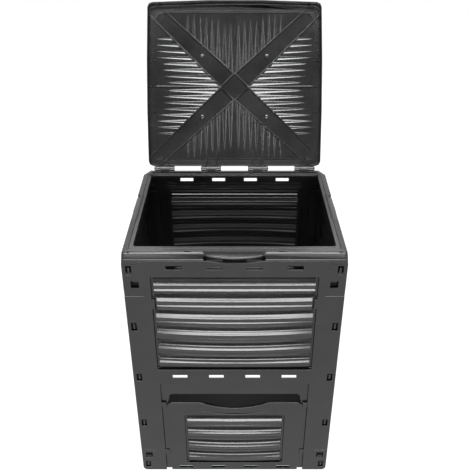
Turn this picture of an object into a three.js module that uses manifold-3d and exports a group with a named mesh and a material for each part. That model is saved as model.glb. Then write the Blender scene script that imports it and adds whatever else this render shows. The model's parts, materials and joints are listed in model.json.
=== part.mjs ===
// A garden compost bin moulded in black plastic: four snap-together walls with ribbed windows,
// a top frame with hand grips, a door that slides up at the foot, and a lid on four hinge pins,
// shown open. Millimetres, X to the right, Y to the back, Z up. The walls are drawn with the
// front face in Y = 0 and the ground at Z = 0, and the whole bin is centred at the end.

import * as THREE from 'three';
import { mergeVertices } from 'three/addons/utils/BufferGeometryUtils.js';
import Module from 'manifold-3d';

const wasm = await Module();
wasm.setup();

// Overall sizes
const binWidth = 610;
const binDepth = 566;
const wallTop = 827;
const skin = 3;
const seat = 0.35;
const overrun = 60;
const curveSteps = 3;
const sweepSteps = 8;

// Wall outline: the top edge steps down over each corner, the feet are rounded
const cornerDrop = 10;
const cornerReach = 40;
const cornerRamp = 15;
const footRadius = 15;
const returnDepth = 14;
const postLeg = 43;
const postTop = 770;

// Corner blocks: a sunk ledge under the top block and a line over the foot block
const ledgeHeight = 711;
const ledgeRun = 29;
const ledgeDepth = 2;
const ledgeReach = 55;
const footLineHeight = 96;
const footLineWidth = 2.5;
const footLineDepth = 1.5;
const footLineReach = 42;

// Clip windows and square locating holes in the corners
const clipCount = 5;
const clipPitch = 192.25;
const lowestClip = 28;
const clipWidth = 16;
const clipHeight = 28;
const clipInset = 10;
const squareHole = 22;
const upperHoleHeight = 751;
const upperHoleInset = 32;
const lowerHoleHeight = 72;
const lowerHoleInset = 24;
const hookWidth = 6;
const hookHeight = 17;
const hookSetback = 2;
const hookThickness = 4;

// Vent slots
const slotsPerRow = 4;
const slotLength = 44;
const slotHeight = 11.5;
const slotPitch = 109.4;
const doorSlotPitch = 107.5;
const upperSlotHeight = 805;
const middleSlotHeight = 416;
const lowerSlotHeight = 14;

// Ribbed windows: sheets of pressed ribs that bow out of a groove in the wall
const windowMargin = 75;
const windowTop = 774;
const lowerWindowTop = 383;
const windowRibs = 6;
const ribPitch = 55.2;
const ribRelief = 13;
const ribValley = 5;
const sheetThickness = 2.2;
const grooveWidth = 7;
const grooveRise = 4;
const grooveDepth = 10;
const windowBow = 13;
const bowColumns = 4;
const bowSkew = 1.7;
const ribHeightShares = [0.25, 0.5, 0.75, 1];
const ribReliefShares = [1, 0.8, 1, 0];

// Notches with a hook at both ends of the second rib of the front window
const hookNotchTop = 712;
const hookNotchRise = 44;
const hookNotchLength = 7;
const hookTabLength = 8;
const hookTabRise = 33;

// Stiffening ribs inside the top band of every wall
const stiffenerThickness = 2;
const stiffenerDepth = 8;
const beltRibDepth = 6;
const beltRibPitch = 10;
const beltRibGap = 4;
const stiffenerPlaceShares = [-0.87, -0.52, -0.41, 0, 0.41, 0.52, 0.87];

// Door recess in the front wall
const channelHalf = 227;
const channelTop = 387;
const channelDepth = 11;
const doorwayHalf = 203;
const doorwayTop = 334;
const doorwayRadius = 12;
const lugHeights = [82, 294];
const lugReach = 14;
const lugHeight = 18;

// Door
const doorHalf = 209;
const doorTop = 308;
const doorLift = 1;
const doorCornerRadius = 14;
const doorDipHalf = 107;
const doorDip = 24;
const doorWindowHalf = 157.5;
const doorWindowTop = 253;
const doorRibs = 4;
const doorRibPitch = 54.5;
const doorBow = 8;
const gripHalf = 95;
const gripHeight = 271;
const gripSag = 9;
const gripOpening = 4;
const doorSteps = 5;

// Top frame
const frameRise = 18;
const shoulderDrop = 14;
const bevelDrop = 2;
const shoulderInset = 1;
const frontBevelInset = 11;
const frontTopInset = 15;
const rearTopInset = 25;
const sideBevelInset = 1;
const sideTopInset = 24;
const frontCornerCut = 10;
const rearCornerCut = 24;
const rearCornerRun = 45;
const mouthHalf = 277;
const mouthFront = 50;
const mouthRear = 512;
const mouthRadius = 9;
const mouthLip = 22;
const mouthRearLip = 7;
const mouthStep = 12;
const mouthStepDepth = 1.5;
const cornerSteps = 2;
const collarBottom = 814;
const tabBottom = 780;
const ridgeInset = 19;
const ridgeWidth = 2.2;
const ridgeRise = 1.6;
const ridgeOverhang = 2.5;
const catchPlace = 128;
const catchWidth = 16;
const catchDepth = 6;
const catchRise = 3;

// Hand grips in the front and sides of the top frame
const handleHalf = 84;
const handleFootHalf = 76;
const handleHeight = 839;
const handleDip = 8;
const handlePocket = 18;
const handleLipReach = 17;
const handleLipDrop = 9;

// Hinges
const hingeInset = 14;
const hingeRise = 6.5;
const hingePlaces = [-236, -78.5, 78.5, 236];
const barrelRadius = 7.5;
const barrelWidth = 31;
const earRadius = 10;
const earWidth = 17;
const hingePlay = 0.5;
const pinRadius = 3.5;
const pinPlay = 0.35;
const pinHeadRadius = 5.5;
const pinHeadWidth = 2.5;
const pinSides = 12;
const lidOpening = 118;

// Lid, drawn closed about the hinge axis
const lidHalf = 289.5;
const lidFrontSetback = 4;
const lidSideBow = 4;
const lidFrontBow = 8;
const lidCornerRadius = 15;
const lidEdgeSteps = 3;
const lidCornerSteps = 2;
const lidRest = 1;
const hingeSetback = 8.5;
const skirtRise = 27;
const skirtSkin = 2.6;
const skirtEdgeInset = 3;
const skirtEdgeRise = 4;
const lidBorder = 26;
const lidDome = 14;
const lidSheet = 2.2;
const bandWidth = 54;
const bandTaper = 19;
const bandReachShare = 1.04;
const bandSkin = 2.6;
const diamondHalf = 47;
const finThickness = 1.8;
const finDepth = 6;
const waveRelief = 3.2;
const wavePitch = 20.6;
const wavesPerSector = 16;
const borderRibPlace = 85;
const borderRibDepth = 8;
const bossPlaceShare = 0.415;
const bossRadius = 5;
const bossDepth = 7;
const bossSides = 8;
const skirtNotchPlay = 1.5;
const knuckleArm = 9;

// Sizes that follow from the ones above
const frameTop = wallTop + frameRise;
const shoulderHeight = frameTop - shoulderDrop;
const bevelHeight = frameTop - bevelDrop;
const halfWidth = binWidth / 2;
const halfDepth = binDepth / 2;
const sideWallHalf = halfDepth - returnDepth - seat;
const cornerTop = wallTop - cornerDrop;
const windowHalf = halfWidth - windowMargin;
const sideWindowHalf = halfDepth - windowMargin;
const flangeBack = channelDepth - seat;
const hingeWidth = barrelWidth + 2 * (earWidth + hingePlay);
const hingeDepth = binDepth - hingeInset;
const hingeHeight = frameTop + hingeRise;
const rimOffset = frameTop + lidRest - hingeHeight;
const lidDepth = hingeDepth - hingeSetback - lidFrontSetback;
const lidCentre = -hingeSetback - lidDepth / 2;
const lidBorderHalf = lidHalf - lidBorder;
const lidBorderReach = lidDepth / 2 - lidBorder;
const lidPlate = rimOffset + skirtRise;

// Turns a closed geometry into a solid that can be joined and cut
function solidOf(geometry) {
  const bare = geometry.clone();
  bare.deleteAttribute('normal');
  bare.deleteAttribute('uv');
  const merged = mergeVertices(bare);
  return new wasm.Manifold(new wasm.Mesh({
    numProp: 3,
    vertProperties: new Float32Array(merged.attributes.position.array),
    triVerts: new Uint32Array(merged.index.array),
  }));
}

// Volume enclosed by an indexed list of points, negative when its faces point inwards
function signedVolume(points, index) {
  let volume = 0;
  for (let i = 0; i < index.length; i += 3) {
    const cross = points[index[i + 1]].clone().cross(points[index[i + 2]]);
    volume += points[index[i]].dot(cross);
  }
  return volume;
}

// Closes points and triangles into a solid, with its faces turned outwards
function closedSolid(points, index) {
  const outwards = signedVolume(points, index) > 0 ? index : [...index].reverse();
  const geometry = new THREE.BufferGeometry().setFromPoints(points);
  geometry.setIndex(outwards);
  return solidOf(geometry);
}

// A box between two corners, given in any order
function block(x0, x1, y0, y1, z0, z1) {
  const geometry = new THREE.BoxGeometry(Math.abs(x1 - x0), Math.abs(y1 - y0), Math.abs(z1 - z0));
  geometry.translate((x0 + x1) / 2, (y0 + y1) / 2, (z0 + z1) / 2);
  return solidOf(geometry);
}

function extruded(shape, depth, steps = curveSteps) {
  return new THREE.ExtrudeGeometry(shape, { depth, bevelEnabled: false, curveSegments: steps });
}

// An outline in X and Z, extruded through the wall from y0 to y1
function panel(shape, y0, y1, steps) {
  const geometry = extruded(shape, y1 - y0, steps);
  geometry.rotateX(Math.PI / 2);
  geometry.translate(0, y1, 0);
  return solidOf(geometry);
}

// A plan in X and Y, extruded upwards from z0 to z1
function storey(shape, z0, z1, steps) {
  const geometry = extruded(shape, z1 - z0, steps);
  geometry.translate(0, 0, z0);
  return solidOf(geometry);
}

// A profile in Y and Z, extruded across from x0 to x1
function beam(shape, x0, x1) {
  const geometry = extruded(shape, Math.abs(x1 - x0));
  const across = new THREE.Matrix4().makeBasis(
    new THREE.Vector3(0, 1, 0),
    new THREE.Vector3(0, 0, 1),
    new THREE.Vector3(1, 0, 0),
  );
  geometry.applyMatrix4(across);
  geometry.translate(Math.min(x0, x1), 0, 0);
  return solidOf(geometry);
}

// A round bar along X
function roundBar(radius, x0, x1, sides) {
  const geometry = new THREE.CylinderGeometry(radius, radius, x1 - x0, sides);
  geometry.rotateZ(Math.PI / 2);
  geometry.translate((x0 + x1) / 2, 0, 0);
  return solidOf(geometry);
}

// Outline through a list of corners
function outline(corners) {
  return new THREE.Shape(corners.map(([a, b]) => new THREE.Vector2(a, b)));
}

// Closes the space between two grids of points with the same rows and columns
function slab(front, back) {
  const rows = front.length;
  const columns = front[0].length;
  const points = [...front.flat(), ...back.flat()];
  const offset = rows * columns;
  const at = (row, column) => row * columns + column;
  const index = [];
  for (let row = 0; row < rows - 1; row += 1) {
    for (let column = 0; column < columns - 1; column += 1) {
      const a = at(row, column);
      const b = at(row, column + 1);
      const c = at(row + 1, column + 1);
      const d = at(row + 1, column);
      index.push(a, b, c, a, c, d);
      index.push(offset + a, offset + c, offset + b, offset + a, offset + d, offset + c);
    }
  }
  const edge = [];
  for (let column = 0; column < columns - 1; column += 1) {
    edge.push(at(0, column));
  }
  for (let row = 0; row < rows - 1; row += 1) {
    edge.push(at(row, columns - 1));
  }
  for (let column = columns - 1; column > 0; column -= 1) {
    edge.push(at(rows - 1, column));
  }
  for (let row = rows - 1; row > 0; row -= 1) {
    edge.push(at(row, 0));
  }
  edge.forEach((a, i) => {
    const b = edge[(i + 1) % edge.length];
    index.push(b, a, offset + a, b, offset + a, offset + b);
  });
  return closedSolid(points, index);
}

// Stacks outlines with equal numbers of corners into a solid with flat ends
function loft(levels) {
  const corners = levels[0].length;
  const points = levels.flat();
  const index = [];
  for (let level = 0; level < levels.length - 1; level += 1) {
    for (let i = 0; i < corners; i += 1) {
      const a = level * corners + i;
      const b = level * corners + (i + 1) % corners;
      index.push(a, b, b + corners, a, b + corners, a + corners);
    }
  }
  const last = (levels.length - 1) * corners;
  const flat = levels[0].map((point) => new THREE.Vector2(point.x, point.y));
  for (const [a, b, c] of THREE.ShapeUtils.triangulateShape(flat, [])) {
    index.push(c, b, a);
    index.push(last + a, last + b, last + c);
  }
  return closedSolid(points, index);
}

// Joins a list of solids into one
function joined(solids) {
  return solids.reduce((whole, solid) => whole.add(solid));
}

function cutBy(solid, tools) {
  return tools.reduce((rest, tool) => rest.subtract(tool), solid);
}

// Mid-height of every clip window, from the ground up
const clipHeights = Array.from({ length: clipCount }, (_, i) => lowestClip + i * clipPitch);

// Corners of a wall's top edge, left to right, and of its rounded feet
function topEdge(half, span) {
  return [
    [-half, cornerTop],
    [cornerReach - span, cornerTop],
    [cornerReach + cornerRamp - span, wallTop],
    [span - cornerReach - cornerRamp, wallTop],
    [span - cornerReach, cornerTop],
    [half, cornerTop],
  ];
}

// A wall's outline: flat feet, rounded only where the wall runs out to the bin's corner
function wallOutline(half, span, radius) {
  const shape = new THREE.Shape();
  shape.moveTo(-half + radius, 0);
  shape.lineTo(half - radius, 0);
  if (radius > 0) {
    shape.absarc(half - radius, radius, radius, -Math.PI / 2, 0, false);
  }
  for (const [x, z] of topEdge(half, span).reverse()) {
    shape.lineTo(x, z);
  }
  if (radius > 0) {
    shape.absarc(-half + radius, radius, radius, Math.PI, Math.PI * 1.5, false);
  }
  return shape;
}

// One row of vent slots through a wall's skin
function slotRow(height, pitch) {
  const slots = [];
  for (let i = 0; i < slotsPerRow; i += 1) {
    const x = (i - (slotsPerRow - 1) / 2) * pitch;
    slots.push(block(
      x - slotLength / 2, x + slotLength / 2,
      -overrun, overrun,
      height - slotHeight / 2, height + slotHeight / 2,
    ));
  }
  return slots;
}

// How far a window's sheet bows out, none at its sides, top and foot and most below the middle
function bowAt(acrossShare, fallShare, bow) {
  return bow * (1 - acrossShare ** 2) * Math.sin(Math.PI * fallShare ** bowSkew);
}

// Heights and reliefs of the stations down a window's ribs, from the top
function ribStations(top, pitch, ribs) {
  const lowest = top - ribs * pitch + grooveRise;
  const stations = [{ z: top - grooveRise, relief: 0 }];
  for (let rib = 0; rib < ribs; rib += 1) {
    ribHeightShares.forEach((share, i) => {
      const z = Math.max(lowest, top - (rib + share) * pitch);
      stations.push({ z, relief: ribReliefShares[i] * ribRelief });
    });
  }
  return stations;
}

// Grid of points on a window's sheet, set in from its outer face and from its top and bottom
function ribGrid(window, half, setIn) {
  const rise = window.ribs * window.pitch;
  const highest = window.top - grooveRise - setIn;
  const lowest = window.top - rise + grooveRise + setIn;
  return ribStations(window.top, window.pitch, window.ribs).map((station) => {
    const { relief } = station;
    const z = THREE.MathUtils.clamp(station.z, lowest, highest);
    const row = [];
    for (let column = 0; column <= bowColumns; column += 1) {
      const share = (2 * column) / bowColumns - 1;
      const bow = bowAt(share, (window.top - z) / rise, window.bow);
      row.push(new THREE.Vector3(share * half, ribValley - relief - bow + setIn, z));
    }
    return row;
  });
}

function flattened(grid, y) {
  return grid.map((row) => row.map((point) => new THREE.Vector3(point.x, y, point.z)));
}

// A ribbed window with its groove: what to cut from the wall's skin, and what to put in
function ribbedWindow(window) {
  const bottom = window.top - window.ribs * window.pitch;
  const back = window.depth + sheetThickness;
  const sheetHalf = window.half - grooveWidth;
  const hole = block(-window.half, window.half, -overrun, window.depth, bottom, window.top);
  const tray = block(
    -window.half - sheetThickness, window.half + sheetThickness,
    skin / 2, back,
    bottom - sheetThickness, window.top + sheetThickness,
  ).subtract(hole);
  const outer = ribGrid(window, sheetHalf, 0);
  const raised = slab(outer, flattened(outer, back));
  const inner = ribGrid(window, sheetHalf - sheetThickness, sheetThickness);
  const hollow = slab(inner, flattened(inner, overrun));
  return { hole, raised, insert: tray.add(raised).subtract(hollow) };
}

// Ribs behind the top band: uprights that stop under the collar, and two belts across
function stiffeners(half) {
  const low = windowTop + sheetThickness;
  const ribs = [];
  for (const share of stiffenerPlaceShares) {
    const x = share * half;
    ribs.push(block(
      x - stiffenerThickness / 2, x + stiffenerThickness / 2,
      skin / 2, stiffenerDepth,
      low, collarBottom - seat,
    ));
  }
  for (const step of [0, 1]) {
    const z = low + beltRibGap + step * beltRibPitch;
    ribs.push(block(-half, half, skin / 2, beltRibDepth, z, z + stiffenerThickness));
  }
  return ribs;
}

// Clip windows through a wall's corners at the given heights
function clipWindows(edge, heights) {
  const cuts = [];
  for (const side of [-1, 1]) {
    const outerEdge = side * (edge - clipInset);
    const innerEdge = side * (edge - clipInset - clipWidth);
    for (const z of heights) {
      cuts.push(block(outerEdge, innerEdge, -overrun, skin + seat, z - clipHeight / 2, z + clipHeight / 2));
    }
  }
  return cuts;
}

function squareHoles(span) {
  const places = [[upperHoleInset, upperHoleHeight], [lowerHoleInset, lowerHoleHeight]];
  const cuts = [];
  for (const side of [-1, 1]) {
    for (const [inset, z] of places) {
      const x = side * (span - inset);
      cuts.push(block(
        x - squareHole / 2, x + squareHole / 2,
        -overrun, skin + seat,
        z - squareHole / 2, z + squareHole / 2,
      ));
    }
  }
  return cuts;
}

// The sunk ledge below a wall's top corner blocks and the line over its foot blocks
function cornerRelief(span) {
  const ledge = outline([
    [0, ledgeHeight],
    [ledgeDepth, ledgeHeight],
    [0, ledgeHeight + ledgeRun],
    [-overrun, ledgeHeight + ledgeRun],
    [-overrun, ledgeHeight],
  ]);
  const cuts = [];
  for (const side of [-1, 1]) {
    cuts.push(beam(ledge, side * (span - ledgeReach), side * (span + overrun)));
    cuts.push(block(
      side * (span - footLineReach), side * (span + overrun),
      -overrun, footLineDepth,
      footLineHeight - footLineWidth / 2, footLineHeight + footLineWidth / 2,
    ));
  }
  return cuts;
}

// The shallow dip that the top edge of a wall has under a hand grip
function handleDipCut() {
  const shape = new THREE.Shape();
  shape.moveTo(-handleFootHalf, wallTop + overrun);
  shape.lineTo(-handleFootHalf, wallTop);
  shape.quadraticCurveTo(0, wallTop - 2 * handleDip, handleFootHalf, wallTop);
  shape.lineTo(handleFootHalf, wallTop + overrun);
  return panel(shape, -overrun, overrun, sweepSteps);
}

function upperWindow(half) {
  return {
    half,
    top: windowTop,
    ribs: windowRibs,
    pitch: ribPitch,
    bow: windowBow,
    depth: grooveDepth,
  };
}

function lowerWindow(half) {
  return { ...upperWindow(half), top: lowerWindowTop };
}

// A full-width wall with its returns round the bin's corners, still without windows
function endWallShell() {
  const shell = panel(wallOutline(halfWidth, halfWidth, footRadius), 0, returnDepth);
  const hollow = block(
    -halfWidth + skin, halfWidth - skin,
    skin, returnDepth + overrun,
    skin, wallTop + overrun,
  );
  return shell.subtract(hollow);
}

// Cuts that the front and rear walls have in common
function endWallCuts() {
  return [
    ...slotRow(upperSlotHeight, slotPitch),
    ...slotRow(middleSlotHeight, slotPitch),
    ...clipWindows(halfWidth, clipHeights),
    ...squareHoles(halfWidth),
    ...cornerRelief(halfWidth),
  ];
}

// Shortens the second rib at both ends, where a tab of the wall stands in the groove
function notchedWindow(window) {
  const { hole, raised, insert } = ribbedWindow(window);
  const low = hookNotchTop - hookNotchRise;
  const back = window.depth + sheetThickness;
  let notched = insert;
  for (const side of [-1, 1]) {
    const end = side * window.half;
    const ribEnd = end - side * (grooveWidth + hookNotchLength);
    const lining = block(
      end, ribEnd - side * sheetThickness,
      -overrun, back - seat,
      low - sheetThickness, hookNotchTop + sheetThickness,
    );
    const notch = block(end, ribEnd, -overrun, window.depth, low, hookNotchTop);
    const tab = block(
      end + (side * sheetThickness) / 2, end - side * hookTabLength,
      0, back - seat,
      low, low + hookTabRise,
    );
    notched = notched.add(lining.intersect(raised)).subtract(notch).add(tab);
  }
  return { hole, insert: notched };
}

// The doorway's outline, with round top corners
function doorwayOutline() {
  const side = doorwayHalf - doorwayRadius;
  const height = doorwayTop - doorwayRadius;
  const shape = new THREE.Shape();
  shape.moveTo(-doorwayHalf, -overrun);
  shape.lineTo(doorwayHalf, -overrun);
  shape.absarc(side, height, doorwayRadius, 0, Math.PI / 2, false);
  shape.absarc(-side, height, doorwayRadius, Math.PI / 2, Math.PI, false);
  return shape;
}

// The sunk channel that the door slides in: its walls, its floor beside the doorway and its lugs
function doorChannel() {
  const back = channelDepth + skin;
  const box = block(-channelHalf - skin, channelHalf + skin, 0, back, 0, channelTop + skin);
  const sunk = block(-channelHalf, channelHalf, -overrun, channelDepth, -overrun, channelTop);
  const doorway = panel(doorwayOutline(), -overrun, overrun);
  const lugBack = flangeBack - skin - seat;
  const lugs = [];
  for (const side of [-1, 1]) {
    for (const z of lugHeights) {
      lugs.push(block(
        side * (channelHalf + skin / 2), side * (channelHalf - lugReach),
        lugBack - skin, lugBack,
        z - lugHeight / 2, z + lugHeight / 2,
      ));
    }
  }
  return { sunk, channel: cutBy(box, [sunk, doorway]).add(joined(lugs)) };
}

// Front wall: one ribbed window above, the door's channel below
function frontWall() {
  const window = notchedWindow(upperWindow(windowHalf));
  const { sunk, channel } = doorChannel();
  const shell = cutBy(endWallShell(), [window.hole, sunk]);
  const body = joined([shell, window.insert, channel, ...stiffeners(windowHalf)]);
  return cutBy(body, [...endWallCuts(), handleDipCut()]);
}

// Rear wall: two ribbed windows and a third row of slots at the foot
function rearWall() {
  const upper = ribbedWindow(upperWindow(windowHalf));
  const lower = ribbedWindow(lowerWindow(windowHalf));
  const shell = cutBy(endWallShell(), [upper.hole, lower.hole]);
  const body = joined([shell, upper.insert, lower.insert, ...stiffeners(windowHalf)]);
  return cutBy(body, [...endWallCuts(), ...slotRow(lowerSlotHeight, slotPitch)]);
}

// A hook that stands out from a side wall's end leg: an arm with its tip turned up
function hookBar(z, inFromFace, side) {
  const root = sideWallHalf - skin / 2;
  const tip = sideWallHalf + returnDepth + seat - hookSetback;
  const low = z - hookHeight / 2;
  const shape = outline([
    [side * root, low],
    [side * tip, low],
    [side * tip, low + hookHeight],
    [side * (tip - hookThickness), low + hookHeight],
    [side * (tip - hookThickness), low + hookThickness],
    [side * root, low + hookThickness],
  ]);
  return panel(shape, inFromFace - hookWidth / 2, inFromFace + hookWidth / 2);
}

// Hooks on a side wall's end leg that reach forward into the end wall's clip windows
function postHooks(side) {
  const hooks = [];
  const inFromFace = clipInset + clipWidth / 2;
  for (const z of clipHeights.slice(0, -1)) {
    hooks.push(hookBar(z, inFromFace, side));
  }
  return hooks;
}

// A side wall: it ends in legs that stand behind the front and rear walls' returns
function sideWall() {
  const plate = panel(wallOutline(sideWallHalf, halfDepth, 0), 0, skin);
  const foot = block(-sideWallHalf, sideWallHalf, 0, returnDepth, 0, skin);
  const legs = [];
  for (const side of [-1, 1]) {
    legs.push(block(side * sideWallHalf, side * (sideWallHalf - skin), 0, postLeg, 0, postTop));
    legs.push(...postHooks(side));
  }
  const upper = ribbedWindow(upperWindow(sideWindowHalf));
  const lower = ribbedWindow(lowerWindow(sideWindowHalf));
  const shell = cutBy(plate, [upper.hole, lower.hole]);
  const body = joined([
    shell, foot, ...legs, upper.insert, lower.insert, ...stiffeners(sideWindowHalf),
  ]);
  const slotScale = sideWindowHalf / windowHalf;
  return cutBy(body, [
    ...slotRow(upperSlotHeight, slotPitch * slotScale),
    ...slotRow(middleSlotHeight, slotPitch * slotScale),
    ...slotRow(lowerSlotHeight, slotPitch * slotScale),
    ...clipWindows(sideWallHalf - skin, clipHeights.slice(-1)),
    handleDipCut(),
  ]);
}

// The door's outline, set in all round, with the dip in its top edge
function doorOutline(setIn) {
  const half = doorHalf - setIn;
  const top = doorTop - setIn;
  const bottom = doorLift + setIn;
  const radius = doorCornerRadius - setIn;
  const shape = new THREE.Shape();
  shape.moveTo(-half, bottom);
  shape.lineTo(half, bottom);
  shape.lineTo(half, top - radius);
  shape.absarc(half - radius, top - radius, radius, 0, Math.PI / 2, false);
  shape.lineTo(doorDipHalf, top);
  shape.quadraticCurveTo(doorDipHalf / 2, top - doorDip, 0, top - doorDip);
  shape.quadraticCurveTo(-doorDipHalf / 2, top - doorDip, -doorDipHalf, top);
  shape.lineTo(-half + radius, top);
  shape.absarc(-half + radius, top - radius, radius, Math.PI / 2, Math.PI, false);
  return shape;
}

// The crescent slit below the dip, where fingers pull the door up
function gripSlit() {
  const shape = new THREE.Shape();
  shape.moveTo(-gripHalf, gripHeight);
  shape.quadraticCurveTo(0, gripHeight - 2 * gripSag, gripHalf, gripHeight);
  shape.quadraticCurveTo(0, gripHeight - 2 * gripSag - 2 * gripOpening, -gripHalf, gripHeight);
  return panel(shape, -overrun, overrun, sweepSteps);
}

// Door: a shallow pan with a ribbed window, and flanges that run behind the channel's lugs
function door() {
  const outer = panel(doorOutline(0), 0, flangeBack, doorSteps);
  const inner = panel(doorOutline(skin), skin, overrun, doorSteps);
  const pan = outer.subtract(inner);
  const flanges = [];
  for (const side of [-1, 1]) {
    flanges.push(block(
      side * (doorHalf - skin), side * (channelHalf - seat),
      flangeBack - skin, flangeBack,
      doorLift, doorTop - doorCornerRadius,
    ));
  }
  const window = ribbedWindow({
    half: doorWindowHalf,
    top: doorWindowTop,
    ribs: doorRibs,
    pitch: doorRibPitch,
    bow: doorBow,
    depth: flangeBack - sheetThickness,
  });
  const body = joined([pan.subtract(window.hole), window.insert, ...flanges]);
  return cutBy(body, [...slotRow(lowerSlotHeight, doorSlotPitch), gripSlit()]);
}

// The frame's plan at one height: a rectangle with cut corners, wider cuts at the rear
function framePlan(level, setIn) {
  const x = halfWidth - level.side - setIn;
  const front = level.front + setIn;
  const rear = binDepth - level.rear - setIn;
  const frontCut = level.cutShare * frontCornerCut;
  const rearCut = level.cutShare * rearCornerCut;
  const rearRun = level.cutShare * rearCornerRun;
  return [
    [-x + frontCut, front],
    [x - frontCut, front],
    [x, front + frontCut],
    [x, rear - rearRun],
    [x - rearCut, rear],
    [-x + rearCut, rear],
    [-x, rear - rearRun],
    [-x, front + frontCut],
  ].map(([a, b]) => new THREE.Vector3(a, b, level.z - level.dropShare * setIn));
}

// The frame's outside from its lower edge, given here, to its top
function frameLevels(bottom) {
  return [
    { z: bottom, front: 0, side: 0, rear: 0, cutShare: 0.2, dropShare: 0 },
    {
      z: shoulderHeight,
      front: shoulderInset,
      side: shoulderInset,
      rear: shoulderInset,
      cutShare: 0.5,
      dropShare: 1,
    },
    {
      z: bevelHeight,
      front: frontBevelInset,
      side: sideBevelInset,
      rear: frontBevelInset,
      cutShare: 0.8,
      dropShare: 1,
    },
    {
      z: frameTop,
      front: frontTopInset,
      side: sideTopInset,
      rear: rearTopInset,
      cutShare: 1,
      dropShare: 1,
    },
  ];
}

// A plan rectangle between two depths, symmetrical about the middle, with round corners
function roundedPlan(half, front, rear, radius) {
  const shape = new THREE.Shape();
  shape.moveTo(-half + radius, front);
  shape.absarc(half - radius, front + radius, radius, -Math.PI / 2, 0, false);
  shape.absarc(half - radius, rear - radius, radius, 0, Math.PI / 2, false);
  shape.absarc(-half + radius, rear - radius, radius, Math.PI / 2, Math.PI, false);
  shape.absarc(-half + radius, front + radius, radius, Math.PI, Math.PI * 1.5, false);
  return shape;
}

// Places a solid drawn on the front wall onto one of the four sides of the bin
const sides = {
  front: { turn: 0, x: 0, y: 0, half: halfWidth, span: halfWidth },
  right: { turn: 90, x: halfWidth, y: halfDepth, half: sideWallHalf, span: halfDepth },
  rear: { turn: 180, x: 0, y: binDepth, half: halfWidth, span: halfWidth },
  left: { turn: -90, x: -halfWidth, y: halfDepth, half: sideWallHalf, span: halfDepth },
};

function onSide(solid, side) {
  return solid.rotate([0, 0, side.turn]).translate([side.x, side.y, 0]);
}

// Room that the top of a wall takes from the frame's lower edge
function wallTopRoom(side) {
  const low = cornerTop - overrun;
  const edge = topEdge(side.span, side.span).map(([x, z]) => [x, z + seat]);
  const shape = outline([[-side.span, low], [side.span, low], ...edge.reverse()]);
  return panel(shape, -overrun, skin + seat);
}

// The gap for fingers below a hand grip, and the pocket's back wall
function gripPocket() {
  const low = collarBottom - overrun;
  const gap = outline([
    [-handleFootHalf, low],
    [handleFootHalf, low],
    [handleHalf, handleHeight],
    [-handleHalf, handleHeight],
  ]);
  const mouth = outline([
    [-handleFootHalf, wallTop - handleDip],
    [handleFootHalf, wallTop - handleDip],
    [handleHalf, frameTop + overrun],
    [-handleHalf, frameTop + overrun],
  ]);
  const wall = block(
    -handleHalf - skin, handleHalf + skin,
    handlePocket, handlePocket + skin,
    collarBottom, frameTop - skin / 2,
  );
  return {
    gap: panel(gap, -overrun, handlePocket),
    mouth: panel(mouth, -overrun, frontTopInset),
    wall,
  };
}

// The grip itself: a lip that slopes forwards and down, rounded out in plan
function gripLip() {
  const front = frontTopInset - handleLipReach;
  const low = frameTop - handleLipDrop;
  const profile = outline([
    [handlePocket + skin / 2, frameTop],
    [frontTopInset, frameTop],
    [front, low],
    [front, low - skin],
    [frontTopInset, frameTop - skin],
    [handlePocket + skin / 2, frameTop - skin],
  ]);
  const plan = new THREE.Shape();
  plan.moveTo(-handleHalf, handlePocket + skin);
  plan.lineTo(-handleHalf, frontTopInset);
  plan.quadraticCurveTo(0, frontTopInset - 2 * handleLipReach, handleHalf, frontTopInset);
  plan.lineTo(handleHalf, handlePocket + skin);
  const bar = beam(profile, -handleHalf - skin, handleHalf + skin);
  return bar.intersect(storey(plan, low - overrun, frameTop + overrun, sweepSteps));
}

// Ears that carry a hinge pin behind the frame
function hingeEars(place) {
  const shape = new THREE.Shape();
  shape.moveTo(hingeDepth - earRadius, hingeHeight);
  shape.absarc(hingeDepth, hingeHeight, earRadius, Math.PI, 0, true);
  shape.lineTo(hingeDepth + earRadius, shoulderHeight);
  shape.lineTo(hingeDepth - earRadius, shoulderHeight);
  const inner = barrelWidth / 2 + hingePlay;
  return [-1, 1].map((side) => beam(
    shape,
    place + side * inner,
    place + side * (inner + earWidth),
  ));
}

function pinHole(place) {
  const hole = roundBar(pinRadius + pinPlay, place - hingeWidth, place + hingeWidth, pinSides);
  return hole.translate([0, hingeDepth, hingeHeight]);
}

// Corner tabs below the collar, each with a hook into a wall's top clip window
function collarTabs(side) {
  const front = skin + seat;
  const edge = side.half === side.span ? halfWidth : sideWallHalf - skin;
  const z = clipHeights.at(-1);
  const x = edge - clipInset - clipWidth / 2;
  const tabs = [];
  for (const hand of [-1, 1]) {
    const plate = block(
      hand * (x - clipWidth), hand * (x + clipWidth - skin),
      front, front + skin,
      tabBottom, wallTop,
    );
    const opening = block(
      hand * (x - clipWidth / 2), hand * (x + clipWidth / 2),
      front - skin, front + 2 * skin,
      z - clipHeight / 2 + hookThickness, z + clipHeight / 2,
    );
    const tongue = block(
      hand * (x - hookWidth / 2), hand * (x + hookWidth / 2),
      hookSetback, front + skin,
      z - clipHeight / 2 + seat, z - clipHeight / 2 + hookThickness + hookHeight,
    );
    tabs.push(plate.subtract(opening).add(tongue));
  }
  return tabs.map((tab) => onSide(tab, side));
}

// The ridge along the front of the frame, broken at the grip, with a catch on each half
function frontRidge() {
  const parts = [];
  for (const side of [-1, 1]) {
    parts.push(block(
      side * handleHalf, side * (mouthHalf + ridgeOverhang),
      ridgeInset, ridgeInset + ridgeWidth,
      frameTop - skin / 2, frameTop + ridgeRise,
    ));
    parts.push(block(
      side * (catchPlace - catchWidth / 2), side * (catchPlace + catchWidth / 2),
      ridgeInset - catchDepth / 2, ridgeInset + catchDepth / 2,
      frameTop - skin / 2, frameTop + catchRise,
    ));
  }
  return parts;
}

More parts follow.
